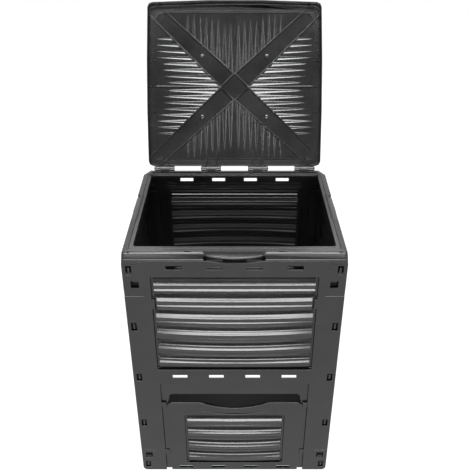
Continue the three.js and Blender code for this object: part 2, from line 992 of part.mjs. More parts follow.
// The hollow rim of the frame, cut away below where the walls' top edges run
function frameShell() {
  const bottom = cornerTop + seat;
  const outside = frameLevels(bottom);
  const below = [{ ...outside[0], z: bottom - overrun }, ...outside.slice(1)];
  const hollow = loft(below.map((level) => framePlan(level, skin)));
  const lip = storey(
    roundedPlan(mouthHalf + skin, mouthFront - skin, mouthRear + skin, mouthRadius + skin),
    frameTop - mouthLip,
    frameTop,
    cornerSteps,
  );
  const aboveSlots = block(
    -mouthHalf, mouthHalf,
    mouthRear - mouthRadius, binDepth,
    frameTop - mouthLip - skin, frameTop - mouthRearLip,
  );
  const rim = loft(outside.map((level) => framePlan(level, 0))).subtract(hollow)
    .add(lip.subtract(aboveSlots));
  const rooms = Object.values(sides).map((side) => onSide(wallTopRoom(side), side));
  return cutBy(rim, rooms);
}

// The collar that plugs inside the walls, trimmed to the inside of the rim
function frameCollar() {
  const outside = frameLevels(collarBottom);
  const ring = (setIn, low, high) => block(
    -halfWidth + setIn, halfWidth - setIn,
    setIn, binDepth - setIn,
    low, high,
  );
  const outer = ring(skin + seat, collarBottom, frameTop);
  const inner = ring(skin * 2 + seat, collarBottom - overrun, frameTop + overrun);
  return outer.subtract(inner).intersect(loft(outside.map((level) => framePlan(level, 0))));
}

// Top frame: a hollow rim with its collar, hand grips, mouth and hinge ears
function topFrame() {
  const pocket = gripPocket();
  const grips = [sides.front, sides.right, sides.left];
  const gaps = grips.flatMap((side) => [onSide(pocket.gap, side), onSide(pocket.mouth, side)]);
  const fills = grips.flatMap((side) => [onSide(pocket.wall, side), onSide(gripLip(), side)]);
  const step = storey(
    roundedPlan(mouthHalf + mouthStep, mouthFront - mouthStep, mouthRear + mouthStep, mouthRadius),
    frameTop - mouthStepDepth,
    frameTop + overrun,
    cornerSteps,
  );
  const mouth = storey(
    roundedPlan(mouthHalf, mouthFront, mouthRear, mouthRadius),
    tabBottom - overrun,
    frameTop + overrun,
    cornerSteps,
  );
  const tabs = Object.values(sides).flatMap(collarTabs);
  const rim = cutBy(joined([frameShell(), frameCollar()]), [...gaps, step]);
  const whole = joined([
    rim, ...fills, ...tabs, ...frontRidge(), ...hingePlaces.flatMap(hingeEars),
  ]);
  return cutBy(whole, [mouth, ...hingePlaces.map(pinHole)]);
}

// A hinge pin with its head, lying along X from the outer ear inwards
function hingePin() {
  const length = hingeWidth + seat;
  const taper = pinRadius - pinPlay;
  const profile = [
    [0, -pinHeadWidth],
    [pinHeadRadius, -pinHeadWidth],
    [pinHeadRadius, 0],
    [pinRadius, 0],
    [pinRadius, length - pinPlay],
    [taper, length],
    [0, length],
  ].map(([x, y]) => new THREE.Vector2(x, y));
  const geometry = new THREE.LatheGeometry(profile, pinSides);
  geometry.rotateZ(-Math.PI / 2);
  return geometry;
}

// The lid's outline at one height: bowed sides and front, round corners
function lidPlan(setIn, z) {
  const half = lidHalf - setIn;
  const reach = lidDepth / 2 - setIn;
  const cornerX = half - lidCornerRadius;
  const cornerY = reach - lidCornerRadius;
  const turns = [[1, -1], [1, 1], [-1, 1], [-1, -1]];
  const arcs = turns.map(([sx, sy], i) => {
    const arc = [];
    for (let step = 0; step <= lidCornerSteps; step += 1) {
      const angle = (i - 1 + step / lidCornerSteps) * (Math.PI / 2);
      const x = sx * cornerX + lidCornerRadius * Math.cos(angle);
      const y = sy * cornerY + lidCornerRadius * Math.sin(angle);
      arc.push(new THREE.Vector2(x, y));
    }
    return arc;
  });
  const points = [];
  arcs.forEach((arc, i) => {
    points.push(...arc);
    const next = arcs[(i + 1) % arcs.length][0];
    for (let step = 1; step < lidEdgeSteps; step += 1) {
      points.push(arc.at(-1).clone().lerp(next, step / lidEdgeSteps));
    }
  });
  return points.map(({ x, y }) => {
    const sideBow = lidSideBow * (x / half) * (1 - (y / reach) ** 2);
    const frontBow = lidFrontBow * Math.min(0, y / reach) * (1 - (x / half) ** 2);
    return new THREE.Vector3(x + sideBow, lidCentre + y + frontBow, z);
  });
}

// The lid's skirt and the flat border of its top
function lidShell() {
  const edge = lidPlate - skirtEdgeRise;
  const outer = loft([
    lidPlan(0, rimOffset),
    lidPlan(0, edge),
    lidPlan(skirtEdgeInset, lidPlate),
  ]);
  const inner = loft([
    lidPlan(skirtSkin, rimOffset - overrun),
    lidPlan(skirtSkin, edge - skirtSkin),
    lidPlan(skirtSkin + skirtEdgeInset, lidPlate - skirtSkin),
  ]);
  return outer.subtract(inner).subtract(lidField(0, overrun));
}

// A block over the lid's middle field, grown at its edges
function lidField(grow, rise) {
  return block(
    -lidBorderHalf - grow, lidBorderHalf + grow,
    lidCentre - lidBorderReach - grow, lidCentre + lidBorderReach + grow,
    lidPlate - rise, lidPlate + overrun,
  );
}

// A point on the lid's low pyramid: two signed shares of the field, plus a lift
function lidPoint(acrossShare, alongShare, lift) {
  const slope = 1 - Math.max(Math.abs(acrossShare), Math.abs(alongShare));
  return new THREE.Vector3(
    acrossShare * lidBorderHalf,
    lidCentre + alongShare * lidBorderReach,
    lidPlate + lidDome * slope + lift,
  );
}

// One of the four waved sectors: its ribs run outwards and fade towards the border
function waveSector(acrossX, hand) {
  const length = acrossX ? lidBorderReach : lidBorderHalf;
  const field = acrossX ? lidBorderHalf : lidBorderReach;
  const places = [-length];
  for (let half = 0; half <= 2 * wavesPerSector; half += 1) {
    places.push((half - wavesPerSector) * (wavePitch / 2));
  }
  places.push(length);
  const grid = (lift) => places.map((place, i) => [0, 1].map((share) => {
    const swing = i % 2 === 0 ? 1 : -1;
    const edge = i === 0 || i === places.length - 1 ? 0 : 1;
    const wave = waveRelief * swing * edge * (1 - share);
    const height = lidPlate + lidDome * (1 - share) + wave + lift;
    const out = hand * share * field;
    return acrossX
      ? new THREE.Vector3(out, lidCentre + place, height)
      : new THREE.Vector3(place, lidCentre + out, height);
  }));
  const a = acrossX ? [hand * field, -length] : [-length, hand * field];
  const b = acrossX ? [hand * field, length] : [length, hand * field];
  const corners = [[0, 0], a, b].map(([x, y]) => [x, lidCentre + y]);
  const triangle = storey(outline(corners), lidPlate - overrun, lidPlate + overrun);
  return slab(grid(0), grid(-lidSheet)).intersect(triangle);
}

// Half width of a diagonal band at a share of the way out to the border's corner
function bandHalf(share) {
  return (bandWidth + bandTaper * (0.5 - share)) / 2;
}

// A point beside the middle of a diagonal band
function bandPoint(signs, share, offset, lift) {
  const along = new THREE.Vector3(signs[0] * lidBorderHalf, signs[1] * lidBorderReach, 0).normalize();
  const aside = new THREE.Vector3(-along.y, along.x, 0);
  return lidPoint(signs[0] * share, signs[1] * share, lift).addScaledVector(aside, offset);
}

// A strip of a diagonal band between two offsets from its middle
function bandStrip(signs, shares, offsetOf, width, top, bottom) {
  const face = (lift) => shares.map((share) => [-1, 1].map((edge) => (
    bandPoint(signs, share, offsetOf(share) + (edge * width(share)) / 2, lift(share))
  )));
  return slab(face(top), face(bottom));
}

// Diagonal band: its sheet, a fin along each edge and a small boss
function lidBand(signs) {
  const shares = [0, bandReachShare];
  const finShares = [diamondHalf / (2 * lidBorderHalf), bandReachShare];
  const whole = (share) => 2 * bandHalf(share);
  const sheet = bandStrip(signs, shares, () => 0, whole, () => 0, () => -bandSkin);
  const room = bandStrip(signs, shares, () => 0, whole, () => overrun, () => -overrun);
  const fins = [-1, 1].map((edge) => bandStrip(
    signs,
    finShares,
    (share) => edge * bandHalf(share),
    () => finThickness,
    (share) => waveRelief * Math.max(0, 1 - share),
    () => -finDepth - lidSheet,
  ));
  const post = new THREE.CylinderGeometry(bossRadius, bossRadius, bossDepth, bossSides);
  post.rotateX(Math.PI / 2);
  const foot = bandPoint(signs, bossPlaceShare, 0, -bandSkin - bossDepth / 2 + bandSkin / 2);
  post.translate(foot.x, foot.y, foot.z);
  return { room, solids: [sheet, ...fins, solidOf(post)] };
}

// Thin fins along both midlines of the lid, from border to border
function midlineFins() {
  const fins = [];
  for (const hand of [-1, 1]) {
    for (const across of [true, false]) {
      const face = (lift) => [0, 1].map((share) => [-1, 1].map((edge) => {
        const point = across
          ? lidPoint(hand * share, 0, lift)
          : lidPoint(0, hand * share, lift);
        const nudge = (edge * finThickness) / 2;
        return across
          ? point.add(new THREE.Vector3(0, nudge, 0))
          : point.add(new THREE.Vector3(nudge, 0, 0));
      }));
      fins.push(slab(face(0), face(-finDepth - lidSheet)));
    }
  }
  return fins;
}

// The wall round the lid's field, and short ribs from there to the skirt
function borderRibs() {
  const low = lidPlate - borderRibDepth;
  const ring = lidField(finThickness / 2, finDepth).subtract(lidField(-finThickness / 2, overrun))
    .subtract(block(
      -lidHalf - overrun, lidHalf + overrun,
      -lidDepth - overrun, overrun,
      lidPlate, lidPlate + 2 * overrun,
    ));
  const ribs = [ring];
  for (const place of [-borderRibPlace, 0, borderRibPlace]) {
    for (const hand of [-1, 1]) {
      ribs.push(block(
        hand * lidBorderHalf, hand * (lidHalf - skirtSkin / 2),
        lidCentre + place - finThickness / 2, lidCentre + place + finThickness / 2,
        low, lidPlate - skirtSkin / 2,
      ));
      ribs.push(block(
        place - finThickness / 2, place + finThickness / 2,
        lidCentre + hand * lidBorderReach, lidCentre + hand * (lidDepth / 2 - skirtSkin / 2),
        low, lidPlate - skirtSkin / 2,
      ));
    }
  }
  return ribs;
}

function diamondPlan(half) {
  return outline([
    [-half, lidCentre],
    [0, lidCentre - half],
    [half, lidCentre],
    [0, lidCentre + half],
  ]);
}

// The diamond where the bands cross, with a fin round its edge
function lidDiamond() {
  const low = lidPlate + lidDome * (1 - diamondHalf / lidBorderReach) - bandSkin;
  const top = lidPlate + lidDome;
  const plate = storey(diamondPlan(diamondHalf), low, top);
  const ring = storey(diamondPlan(diamondHalf + finThickness), low - finDepth, top)
    .subtract(storey(diamondPlan(diamondHalf - finThickness), low - overrun, top + overrun));
  return plate.add(ring);
}

// Knuckles behind the lid's skirt, one between each pair of ears
function lidKnuckles() {
  return hingePlaces.flatMap((place) => {
    const left = place - barrelWidth / 2;
    const right = place + barrelWidth / 2;
    const arm = block(
      left, right,
      -hingeSetback - skirtSkin / 2, 0,
      rimOffset, rimOffset + knuckleArm,
    );
    return [roundBar(barrelRadius, left, right, pinSides), arm];
  });
}

// What the lid gives up: room for the frame's ears and the bores for the pins
function lidHingeCuts() {
  return hingePlaces.flatMap((place) => {
    const inner = barrelWidth / 2;
    const outer = inner + earWidth + 2 * hingePlay;
    const radius = earRadius + skirtNotchPlay;
    return [
      roundBar(radius, place - outer, place - inner, pinSides),
      roundBar(radius, place + inner, place + outer, pinSides),
      roundBar(pinRadius + pinPlay, place - outer, place + outer, pinSides),
    ];
  });
}

// Lid: a shallow tray with a low ribbed pyramid, crossed by two diagonal bands
function lid() {
  const bands = [[-1, -1], [1, -1], [1, 1], [-1, 1]].map(lidBand);
  const rooms = bands.map((band) => band.room);
  const sectors = [-1, 1].flatMap((hand) => [waveSector(true, hand), waveSector(false, hand)]);
  const roof = joined(sectors.map((sector) => cutBy(sector, rooms)));
  const body = joined([
    lidShell(),
    roof,
    ...bands.flatMap((band) => band.solids),
    lidDiamond(),
    ...midlineFins(),
    ...borderRibs(),
    ...lidKnuckles(),
  ]);
  return cutBy(body, lidHingeCuts());
}

// Geometry with flat faces from a finished solid
function geometryOf(solid) {
  const { vertProperties, triVerts } = solid.getMesh();
  const geometry = new THREE.BufferGeometry();
  geometry.setAttribute('position', new THREE.BufferAttribute(vertProperties, 3));
  geometry.setIndex(new THREE.BufferAttribute(triVerts, 1));
  const flat = geometry.toNonIndexed();
  flat.computeVertexNormals();
  return flat;
}

// Black recycled plastic with a satin face, and the smoother plastic of the pins
function wallPlastic() {
  return new THREE.MeshStandardMaterial({ color: 0x3c3c3e, roughness: 0.55, metalness: 0 });
}

function pinPlastic() {
  return new THREE.MeshStandardMaterial({ color: 0x2a2a2c, roughness: 0.4, metalness: 0 });
}

function piece(name, geometry, material) {
  const mesh = new THREE.Mesh(geometry, material);
  mesh.name = name;
  return mesh;
}

// The walls, each turned to its own side of the bin
function walls() {
  return [
    ['front_wall', frontWall(), sides.front],
    ['right_wall', sideWall(), sides.right],
    ['rear_wall', rearWall(), sides.rear],
    ['left_wall', sideWall(), sides.left],
  ].map(([name, solid, side]) => {
    const mesh = piece(name, geometryOf(solid), wallPlastic());
    mesh.rotation.z = THREE.MathUtils.degToRad(side.turn);
    mesh.position.set(side.x, side.y, 0);
    return mesh;
  });
}

// Hinge pins, their heads on the outer side of each hinge
function pins() {
  return hingePlaces.map((place, i) => {
    const mesh = piece(`hinge_pin_${i + 1}`, hingePin(), pinPlastic());
    const hand = Math.sign(place);
    mesh.rotation.z = hand > 0 ? Math.PI : 0;
    mesh.position.set(place + hand * (hingeWidth / 2 + seat), hingeDepth, hingeHeight);
    return mesh;
  });
}

// The lid stands open on its hinge axis
function openLid() {
  const group = new THREE.Group();
  group.add(piece('lid', geometryOf(lid()), wallPlastic()));
  group.position.set(0, hingeDepth, hingeHeight);
  group.rotation.x = THREE.MathUtils.degToRad(-lidOpening);
  return group;
}

// The whole bin, standing on the ground with its origin under the middle of its bounds
function compostBin() {
  const bin = new THREE.Group();
  bin.add(...walls());
  bin.add(piece('top_frame', geometryOf(topFrame()), wallPlastic()));
  bin.add(piece('door', geometryOf(door()), wallPlastic()));
  bin.add(...pins());
  bin.add(openLid());
  bin.updateMatrixWorld(true);
  const bounds = new THREE.Box3().setFromObject(bin, true);
  const centre = bounds.getCenter(new THREE.Vector3());
  bin.position.set(-centre.x, -centre.y, -bounds.min.z);
  bin.updateMatrixWorld(true);
  return bin;
}

export default compostBin();
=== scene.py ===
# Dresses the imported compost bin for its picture: finer walls, door, top frame, lid and pins in
# black plastic, a white studio and the camera of the photograph. Shapes are worked out in
# millimetres in the bin's own axes: X to the right, Y back from the front wall's face, Z up from
# the ground. They are placed in the frame, and the studio is laid out, in metres.

import json
import math
from collections import namedtuple

import bmesh
import bpy
import numpy as np
from mathutils import Matrix, Vector

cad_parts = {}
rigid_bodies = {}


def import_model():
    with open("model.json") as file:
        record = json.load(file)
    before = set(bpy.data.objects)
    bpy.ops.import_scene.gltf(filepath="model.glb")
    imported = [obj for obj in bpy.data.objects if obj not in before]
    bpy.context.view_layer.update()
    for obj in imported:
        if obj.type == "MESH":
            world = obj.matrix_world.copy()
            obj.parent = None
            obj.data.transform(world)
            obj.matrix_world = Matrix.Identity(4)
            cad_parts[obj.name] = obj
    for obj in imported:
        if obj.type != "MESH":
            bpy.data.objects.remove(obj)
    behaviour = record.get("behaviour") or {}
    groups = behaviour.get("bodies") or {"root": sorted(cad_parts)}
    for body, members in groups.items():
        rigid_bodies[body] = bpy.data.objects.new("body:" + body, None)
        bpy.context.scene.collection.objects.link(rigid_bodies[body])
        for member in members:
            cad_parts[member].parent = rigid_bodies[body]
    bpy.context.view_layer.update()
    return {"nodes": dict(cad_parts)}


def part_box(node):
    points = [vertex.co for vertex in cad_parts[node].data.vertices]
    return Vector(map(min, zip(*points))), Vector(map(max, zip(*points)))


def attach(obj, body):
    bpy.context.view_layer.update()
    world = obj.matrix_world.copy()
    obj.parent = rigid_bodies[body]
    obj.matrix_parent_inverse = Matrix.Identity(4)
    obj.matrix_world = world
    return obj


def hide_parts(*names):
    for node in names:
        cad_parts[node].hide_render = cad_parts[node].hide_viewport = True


# Units and mesh work
MM = 0.001
WELD = 0.005
FLAT_ANGLE = math.radians(0.05)
SHARP_ANGLE = math.radians(34)
EDGE_ROUNDING = 0.7
LID_EDGE_ROUNDING = 0.35
ROUNDING_SEGMENTS = 2

# How far a cut runs past what it cuts
OVERRUN = 60

# How far a new shape laps into what it joins, and how far its gap is cut past the old shape
LAP = 0.15
LAP_CUT = 0.05

# The bin, as in the solids
BIN_WIDTH = 610
BIN_DEPTH = 566
SKIN = 3
SEAT = 0.35
RETURN_DEPTH = 14
CHANNEL_DEPTH = 11

# Ribbed windows
WINDOW_MARGIN = 75
WINDOW_TOP = 774
LOWER_WINDOW_TOP = 383
WINDOW_RIBS = 6
RIB_PITCH = 55.2
RIB_RELIEF = 12.8
RIB_VALLEY = 5
RIB_STEPS = 22
RIB_SOFTNESS_SHARE = 0.04
RIB_SOFT_STEPS = 9
RIB_END_ROUND = 2.4
RIB_END_SHARES = (0.15, 0.4, 0.7, 1)
SHEET = 2.2
GROOVE_WIDTH = 7
GROOVE_RISE = 4
GROOVE_DEPTH = 10
WINDOW_BOW = 13
BOW_SKEW = 1.7
BOW_STEPS = 24

# Sections of a window's top and lowest rib and of its inside: shares of the fall and the relief
RIB_TOP_SHARES = (
    (0, 0.18, 0.2, 0.36, 0.56, 0.73, 1),
    (0, 0.66, 0.68, 1, 0.7, 1, 0),
)
RIB_LOW_SHARES = (
    (0, 0.13, 0.27, 0.42, 0.53, 0.62, 1),
    (0, 0.56, 0.62, 1, 0.84, 1, 0),
)
RIB_INSIDE_SHARES = (
    (0, 0.2, 0.36, 0.5, 0.66, 0.92, 1),
    (0, 0.4, 0.8, 0.53, 0.8, 0.04, 0),
)

# Notches at the ends of the front window's second rib
NOTCH_TOP = 712
NOTCH_RISE = 44
NOTCH_LENGTH = 7

# Blind windows and holes near the rear corners, closed by thin plates
CLIP_INSET = 10
CLIP_LEVEL = 797
CLIP_WIDTH = 16
CLIP_HEIGHT = 28
SQUARE_HOLE = 22
HOLE_INSET = 32
HOLE_LEVEL = 751
BACKING_FRONT = 0.4
BACKING_REAR = 1.6

# Door
DOOR_WINDOW_HALF = 157.5
DOOR_WINDOW_TOP = 253
DOOR_RIBS = 4
DOOR_RIB_PITCH = 54.5
DOOR_BOW = 8

# Top frame and its hand grips
FRAME_TOP = 845
GRIP_HALF = 84
GRIP_CORNER = 73
GRIP_ROOT = 19.65
GRIP_FRONT = -3
GRIP_DROP = 9
GRIP_THICKNESS = 3.4
GRIP_STEPS = 16

# How far a grip's nose lies behind the wall's face: at its ends, its corners and its middle
GRIP_INSETS = (15, 4.5, -2)
SIDE_GRIP_INSETS = (15, -0.5, -0.5)

# The line in front of the top frame's ridge, and the bead beside its mouth
LINE_FRONT = 15.4
LINE_REAR = 18.9
LINE_DEPTH = 2.2
LINE_END = 279.5
BEAD_HALF = 289
BEAD_FRONT = 38
BEAD_REAR = 524
BEAD_WIDTH = 1.6
BEAD_RISE = 0.8

# Hinges and their pins
HINGE_INSET = 14
HINGE_RISE = 6.5
HINGE_OUTER = 236
HINGE_INNER = 78.5
HINGE_PLAY = 0.5
BARREL_WIDTH = 31
EAR_WIDTH = 17
PIN_RADIUS = 3.5
PIN_TIP_RUN = 1
PIN_TIP_DROP = 0.35
PIN_TIP_DOME = 0.35
PIN_HEAD_GAP = 0.35
PIN_HEAD_RADIUS = 5.5
PIN_HEAD_THICKNESS = 2.5
PIN_HEAD_SHARES = ((1, 0), (1, 0.455), (0.84, 0.764), (0.48, 0.945), (0.08, 1), (0, 0.982))
PIN_SIDES = 24

# Lid
LID_OPENING = math.radians(118)
LID_HALF = 289.5
LID_FRONT_SETBACK = 4
LID_REST = 1
LID_BORDER = 26
LID_DOME = 14
LID_SHEET = 2.2
HINGE_SETBACK = 8.5
SKIRT_RISE = 27
SKIRT_SKIN = 2.6
FIELD_CORNER = 30
CORNER_STEPS = 10

# Ribs of the lid's sectors, which swell from a point near the border
WAVE_COUNT = 16
WAVE_PITCH = 20.6
WAVE_PART = 3.2
WAVE_RELIEF = 2.5
WAVE_UNEVEN_SHARE = 0.3
WAVE_UNEVEN_TURN = 2.4
WAVE_LEAST = 0.3
WAVE_FILL_SHARE = 0.94
WAVE_END_SHARE = 0.86
WAVE_END_GAIN_SHARE = 0.13
WAVE_END_RUN = 130
WAVE_SWELL_SHARE = 0.6
WAVE_TIP_POWER = 0.7
WAVE_POWER = 1.5
WAVE_STEPS = 10
WAVE_COLUMNS = 18
SECTOR_CROWN = 0.6
SECTOR_LAP_SHARE = 1.001

# The lid's diagonal bands, its fins and the diamond in its middle, where the bands are widest
BAND_WIDTH = 63.5
BAND_TAPER = 19
BAND_REACH_SHARE = 1.12
BAND_SKIN = 2.6
BAND_STEPS = 9
DIAMOND_HALF = 47
FIN = 2.2
FIN_CROWN = 0.42
FIN_RIDGE_SHARE = 0.1
FIN_DEPTH = 6
FIN_RISE = 3.2
BOSS_PLACE_SHARE = 0.415
BOSS_RADIUS = 6
BOSS_DEPTH = 7
BOSS_SHARES = ((0, 0), (0, 1), (0.86, 1), (1, 0.35), (0.6, 0.3), (0.6, 0))
BOSS_SIDES = 20

# Strips under the lid's border, and how far their thin and thick edges lie in from its own edge
WEDGE_HALF = 222
FRONT_WEDGE_INSETS = (19.25, 1.25)
FRONT_WEDGE_DEPTH = 0.3
REAR_WEDGE_INSETS = (3.75, 22.25)
REAR_WEDGE_DEPTH = 0.8

# Gussets in the lid at the two middle hinges
GUSSET_OFFSET = 16
GUSSET_REACH = 37
GUSSET_DEPTH = 9
GUSSET_WIDTH = 4.4

# Plastics, whose colour runs from dark to light between two levels of their noise
CHARCOAL_DARK = (0.004, 0.004, 0.0043, 1)
CHARCOAL_LIGHT = (0.012, 0.012, 0.0127, 1)
CHARCOAL_ROUGHNESS = 0.19
CHARCOAL_GRAIN = 0.5
PIN_DARK = (0.012, 0.012, 0.013, 1)
PIN_LIGHT = (0.02, 0.02, 0.021, 1)
PIN_ROUGHNESS = 0.35
PIN_GRAIN = 0.15
CLOUD_SCALE = 9
CLOUD_DETAIL = 5
SPECK_SCALE = 240
SPECK_DETAIL = 4
NOISE_ROUGHNESS = 0.6
DARK_LEVEL = 0.7
LIGHT_LEVEL = 1.3
ROUGHNESS_FALL = 0.05
ROUGHNESS_RISE = 0.06
GRAIN_HEIGHT = 0.0004
PLASTIC_IOR = 1.48

# Camera, from the picture's vanishing lines
CAMERA_PLACE = (0, -1432.3, 1725.2)
CAMERA_PITCH = math.radians(31.99)
CAMERA_LENS = 48.48
CAMERA_SHIFT = (0.001, 0.0532)

# Studio, in metres
AMBIENT = 0.12
CEILING_LOW = math.sin(math.radians(24))
CEILING_HIGH = math.sin(math.radians(36))
CEILING_SHADE = 0.1
FLOOR_HALF = 4
FLOOR_DROP = 0.0005
FLOOR_GREY = 0.15
FLOOR_ROUGHNESS = 0.9

# Painted shade: the dark middle of the ground inside the bin, painted dark where the bin's shadow
# falls, in metres
PAINTED_SHADE_GREY = 0.02
PAINTED_SHADE_ACROSS = (-0.29, 0.29)
PAINTED_SHADE_ALONG = (-0.36, 0.02)
PAINTED_SHADE_BLUR = 0.015

# Lamps: where each hangs and points, its width and height, and its power in watts
LAMPS = {
    "overhead": ((0, -4.5, 12), (0, -4.5, 0), (8.8, 8), 780),
    "overhead_core": ((0, -0.6, 3.3), (0, 0, 0.9), (2.2, 0.7), 100),
    "front_low": ((0, -4.2, 1.3), (0, -0.4, 0.7), (2.4, 1.4), 180),
    "back_high": ((0, 2.5, 3.2), (0, 0, 0.9), (2.6, 1.3), 30),
    "front_corner_left": ((-2, -2.75, 3.7), (0, 0, 1), (0.25, 0.9), 13),
    "front_corner_right": ((2, -2.75, 3.7), (0, 0, 1), (0.25, 0.9), 13),
}

# Sizes that follow from the ones above
half_width = BIN_WIDTH / 2
half_depth = BIN_DEPTH / 2
side_wall_edge = half_depth - RETURN_DEPTH - SKIN - SEAT
flange_back = CHANNEL_DEPTH - SEAT
hinge_places = (-HINGE_OUTER, -HINGE_INNER, HINGE_INNER, HINGE_OUTER)
hinge_depth = BIN_DEPTH - HINGE_INSET
hinge_height = FRAME_TOP + HINGE_RISE
pin_length = BARREL_WIDTH + 2 * (EAR_WIDTH + HINGE_PLAY)
lid_depth = hinge_depth - HINGE_SETBACK - LID_FRONT_SETBACK
lid_plate = FRAME_TOP + LID_REST - hinge_height + SKIRT_RISE
lid_centre = -HINGE_SETBACK - lid_depth / 2
lid_field_half = LID_HALF - LID_BORDER
lid_field_reach = lid_depth / 2 - LID_BORDER
below_lid = lid_plate - OVERRUN
above_lid = lid_plate + OVERRUN
field_lap = FIN / 4

# Half a window's width, its top, its ribs and their pitch, how far it bows out, how deep its
# sheet reaches, and whether notches shorten a rib
Window = namedtuple("Window", "half top ribs pitch bow back notched")


def clear_scene():
    for item in list(bpy.data.objects):
        bpy.data.objects.remove(item)


clear_scene()
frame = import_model()

# Where the front wall's face lies in the frame, in front of the wall's returns
front_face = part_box("front_wall")[1].y / MM - RETURN_DEPTH


# Shapes

def mesh_of(points, faces):
    """A mesh with its faces turned outwards."""
    mesh = bpy.data.meshes.new("shape")
    mesh.from_pydata(np.asarray(points, dtype=float).tolist(), [], faces)
    bm = bmesh.new()
    bm.from_mesh(mesh)
    bmesh.ops.recalc_face_normals(bm, faces=bm.faces)
    bm.to_mesh(mesh)
    bm.free()
    return mesh


def block(x0, x1, y0, y1, z0, z1):
    """A box between two places on each axis."""
    points = [(x, y, z) for z in (z0, z1) for y in (y0, y1) for x in (x0, x1)]
    faces = [(0, 2, 3, 1), (4, 5, 7, 6), (0, 1, 5, 4), (2, 6, 7, 3), (0, 4, 6, 2), (1, 3, 7, 5)]
    return mesh_of(points, faces)


def slab(front, back):
    """The space between two grids of points of the same size."""
    rows, columns = front.shape[:2]
    offset = rows * columns
    points = np.concatenate([front.reshape(-1, 3), back.reshape(-1, 3)])
    faces = []
    for row in range(rows - 1):
        for column in range(columns - 1):
            a = row * columns + column
            b, c, d = a + 1, a + columns + 1, a + columns
            faces.append((a, b, c, d))
            faces.append((offset + d, offset + c, offset + b, offset + a))
    edge = list(range(columns))
    edge += [row * columns + columns - 1 for row in range(1, rows)]
    edge += [(rows - 1) * columns + column for column in range(columns - 2, -1, -1)]
    edge += [row * columns for row in range(rows - 2, 0, -1)]
    for a, b in zip(edge, edge[1:] + edge[:1]):
        faces.append((b, a, offset + a, offset + b))
    return mesh_of(points, faces)


def prism(corners, axis, low, high):
    """A flat outline, pushed along one axis from low to high."""
    count = len(corners)
    points = []
    for level in (low, high):
        for a, b in corners:
            point = [a, b]
            point.insert(axis, level)
            points.append(point)
    faces = [tuple(range(count)), tuple(range(2 * count - 1, count - 1, -1))]
    for i in range(count):
        j = (i + 1) % count
        faces.append((i, i + count, j + count, j))
    return mesh_of(points, faces)


def lathe(profile, sides):
    """A profile of (along X, radius) pairs, turned about X."""
    points = []
    rings = []
    for along, radius in profile:
        if radius == 0:
            rings.append([len(points)] * sides)
            points.append((along, 0, 0))
            continue
        rings.append(list(range(len(points), len(points) + sides)))
        for side in range(sides):
            angle = 2 * math.pi * side / sides
            points.append((along, radius * math.cos(angle), radius * math.sin(angle)))
    faces = []
    for near, far in zip(rings, rings[1:]):
        for side in range(sides):
            other = (side + 1) % sides
            face = []
            for vertex in (near[side], near[other], far[other], far[side]):
                if vertex not in face:
                    face.append(vertex)
            faces.append(tuple(face))
    return mesh_of(points, faces)


def strip(top, tip, aside, crown):
    """The space between two lines of points, widened to both sides, and crowned at its tip."""
    across = np.array([-1, -FIN_RIDGE_SHARE, FIN_RIDGE_SHARE, 1])
    widened = np.broadcast_to(aside, top.shape)[:, None, :] * across[None, :, None]
    crowned = tip[:, None, :] + widened
    crowned[..., 2] -= np.array([0, crown, crown, 0])
    return slab(top[:, None, :] + widened, crowned)


def combine(base, operation, tool):
    """Joins, cuts or crosses two closed meshes."""
    host = bpy.data.objects.new("host", base)
    cutter = bpy.data.objects.new("cutter", tool)
    for item in (host, cutter):
        bpy.context.scene.collection.objects.link(item)
    step = host.modifiers.new("step", "BOOLEAN")
    step.solver = "MANIFOLD"
    step.operation = operation
    step.object = cutter
    graph = bpy.context.evaluated_depsgraph_get()
    result = bpy.data.meshes.new_from_object(host.evaluated_get(graph))
    for item in (host, cutter):
        bpy.data.objects.remove(item)
    return result


def join(base, *tools):
    for tool in tools:
        base = combine(base, "UNION", tool)
    return base


def cut(base, *tools):
    for tool in tools:
        base = combine(base, "DIFFERENCE", tool)
    return base


def cross(base, tool):
    return combine(base, "INTERSECT", tool)


# Where each piece is drawn, and where it is placed

def wall_axes(turn, x, y):
    """From a wall's own axes to the bin's."""
    return Matrix.Translation((x, y, 0)) @ Matrix.Rotation(turn, 4, "Z")


def lid_axes():
    """From the lid's own axes, as if closed, with X in the hinge's axis, to the bin's, open."""
    hinge = Matrix.Translation((0, hinge_depth, hinge_height))
    return hinge @ Matrix.Rotation(-LID_OPENING, 4, "X")


def pin_axes(middle):
    """From a pin's own axes, with X from its head to its tip, to the bin's, head outwards."""
    hand = math.copysign(1, middle)
    head = middle + hand * (pin_length / 2 + PIN_HEAD_GAP)
    turn = math.pi if hand > 0 else 0
    return Matrix.Translation((head, hinge_depth, hinge_height)) @ Matrix.Rotation(turn, 4, "Z")


to_frame = Matrix.Scale(MM, 4) @ Matrix.Translation((0, front_face, 0))
own_axes = {
    "front_wall": wall_axes(0, 0, 0),
    "right_wall": wall_axes(math.pi / 2, half_width, half_depth),
    "rear_wall": wall_axes(math.pi, 0, BIN_DEPTH),
    "left_wall": wall_axes(-math.pi / 2, -half_width, half_depth),
    "top_frame": Matrix.Identity(4),
    "door": Matrix.Identity(4),
    "lid": lid_axes(),
}
for number, middle in enumerate(hinge_places, start=1):
    own_axes[f"hinge_pin_{number}"] = pin_axes(middle)


def cad_solid(node):
    """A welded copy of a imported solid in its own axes."""
    mesh = frame["nodes"][node].data.copy()
    mesh.transform((to_frame @ own_axes[node]).inverted())
    mesh.materials.clear()
    bm = bmesh.new()
    bm.from_mesh(mesh)
    bmesh.ops.remove_doubles(bm, verts=bm.verts, dist=WELD)
    bm.to_mesh(mesh)
    bm.free()
    for name in ("custom_normal", "sharp_face"):
        if name in mesh.attributes:
            mesh.attributes.remove(mesh.attributes[name])
    return mesh


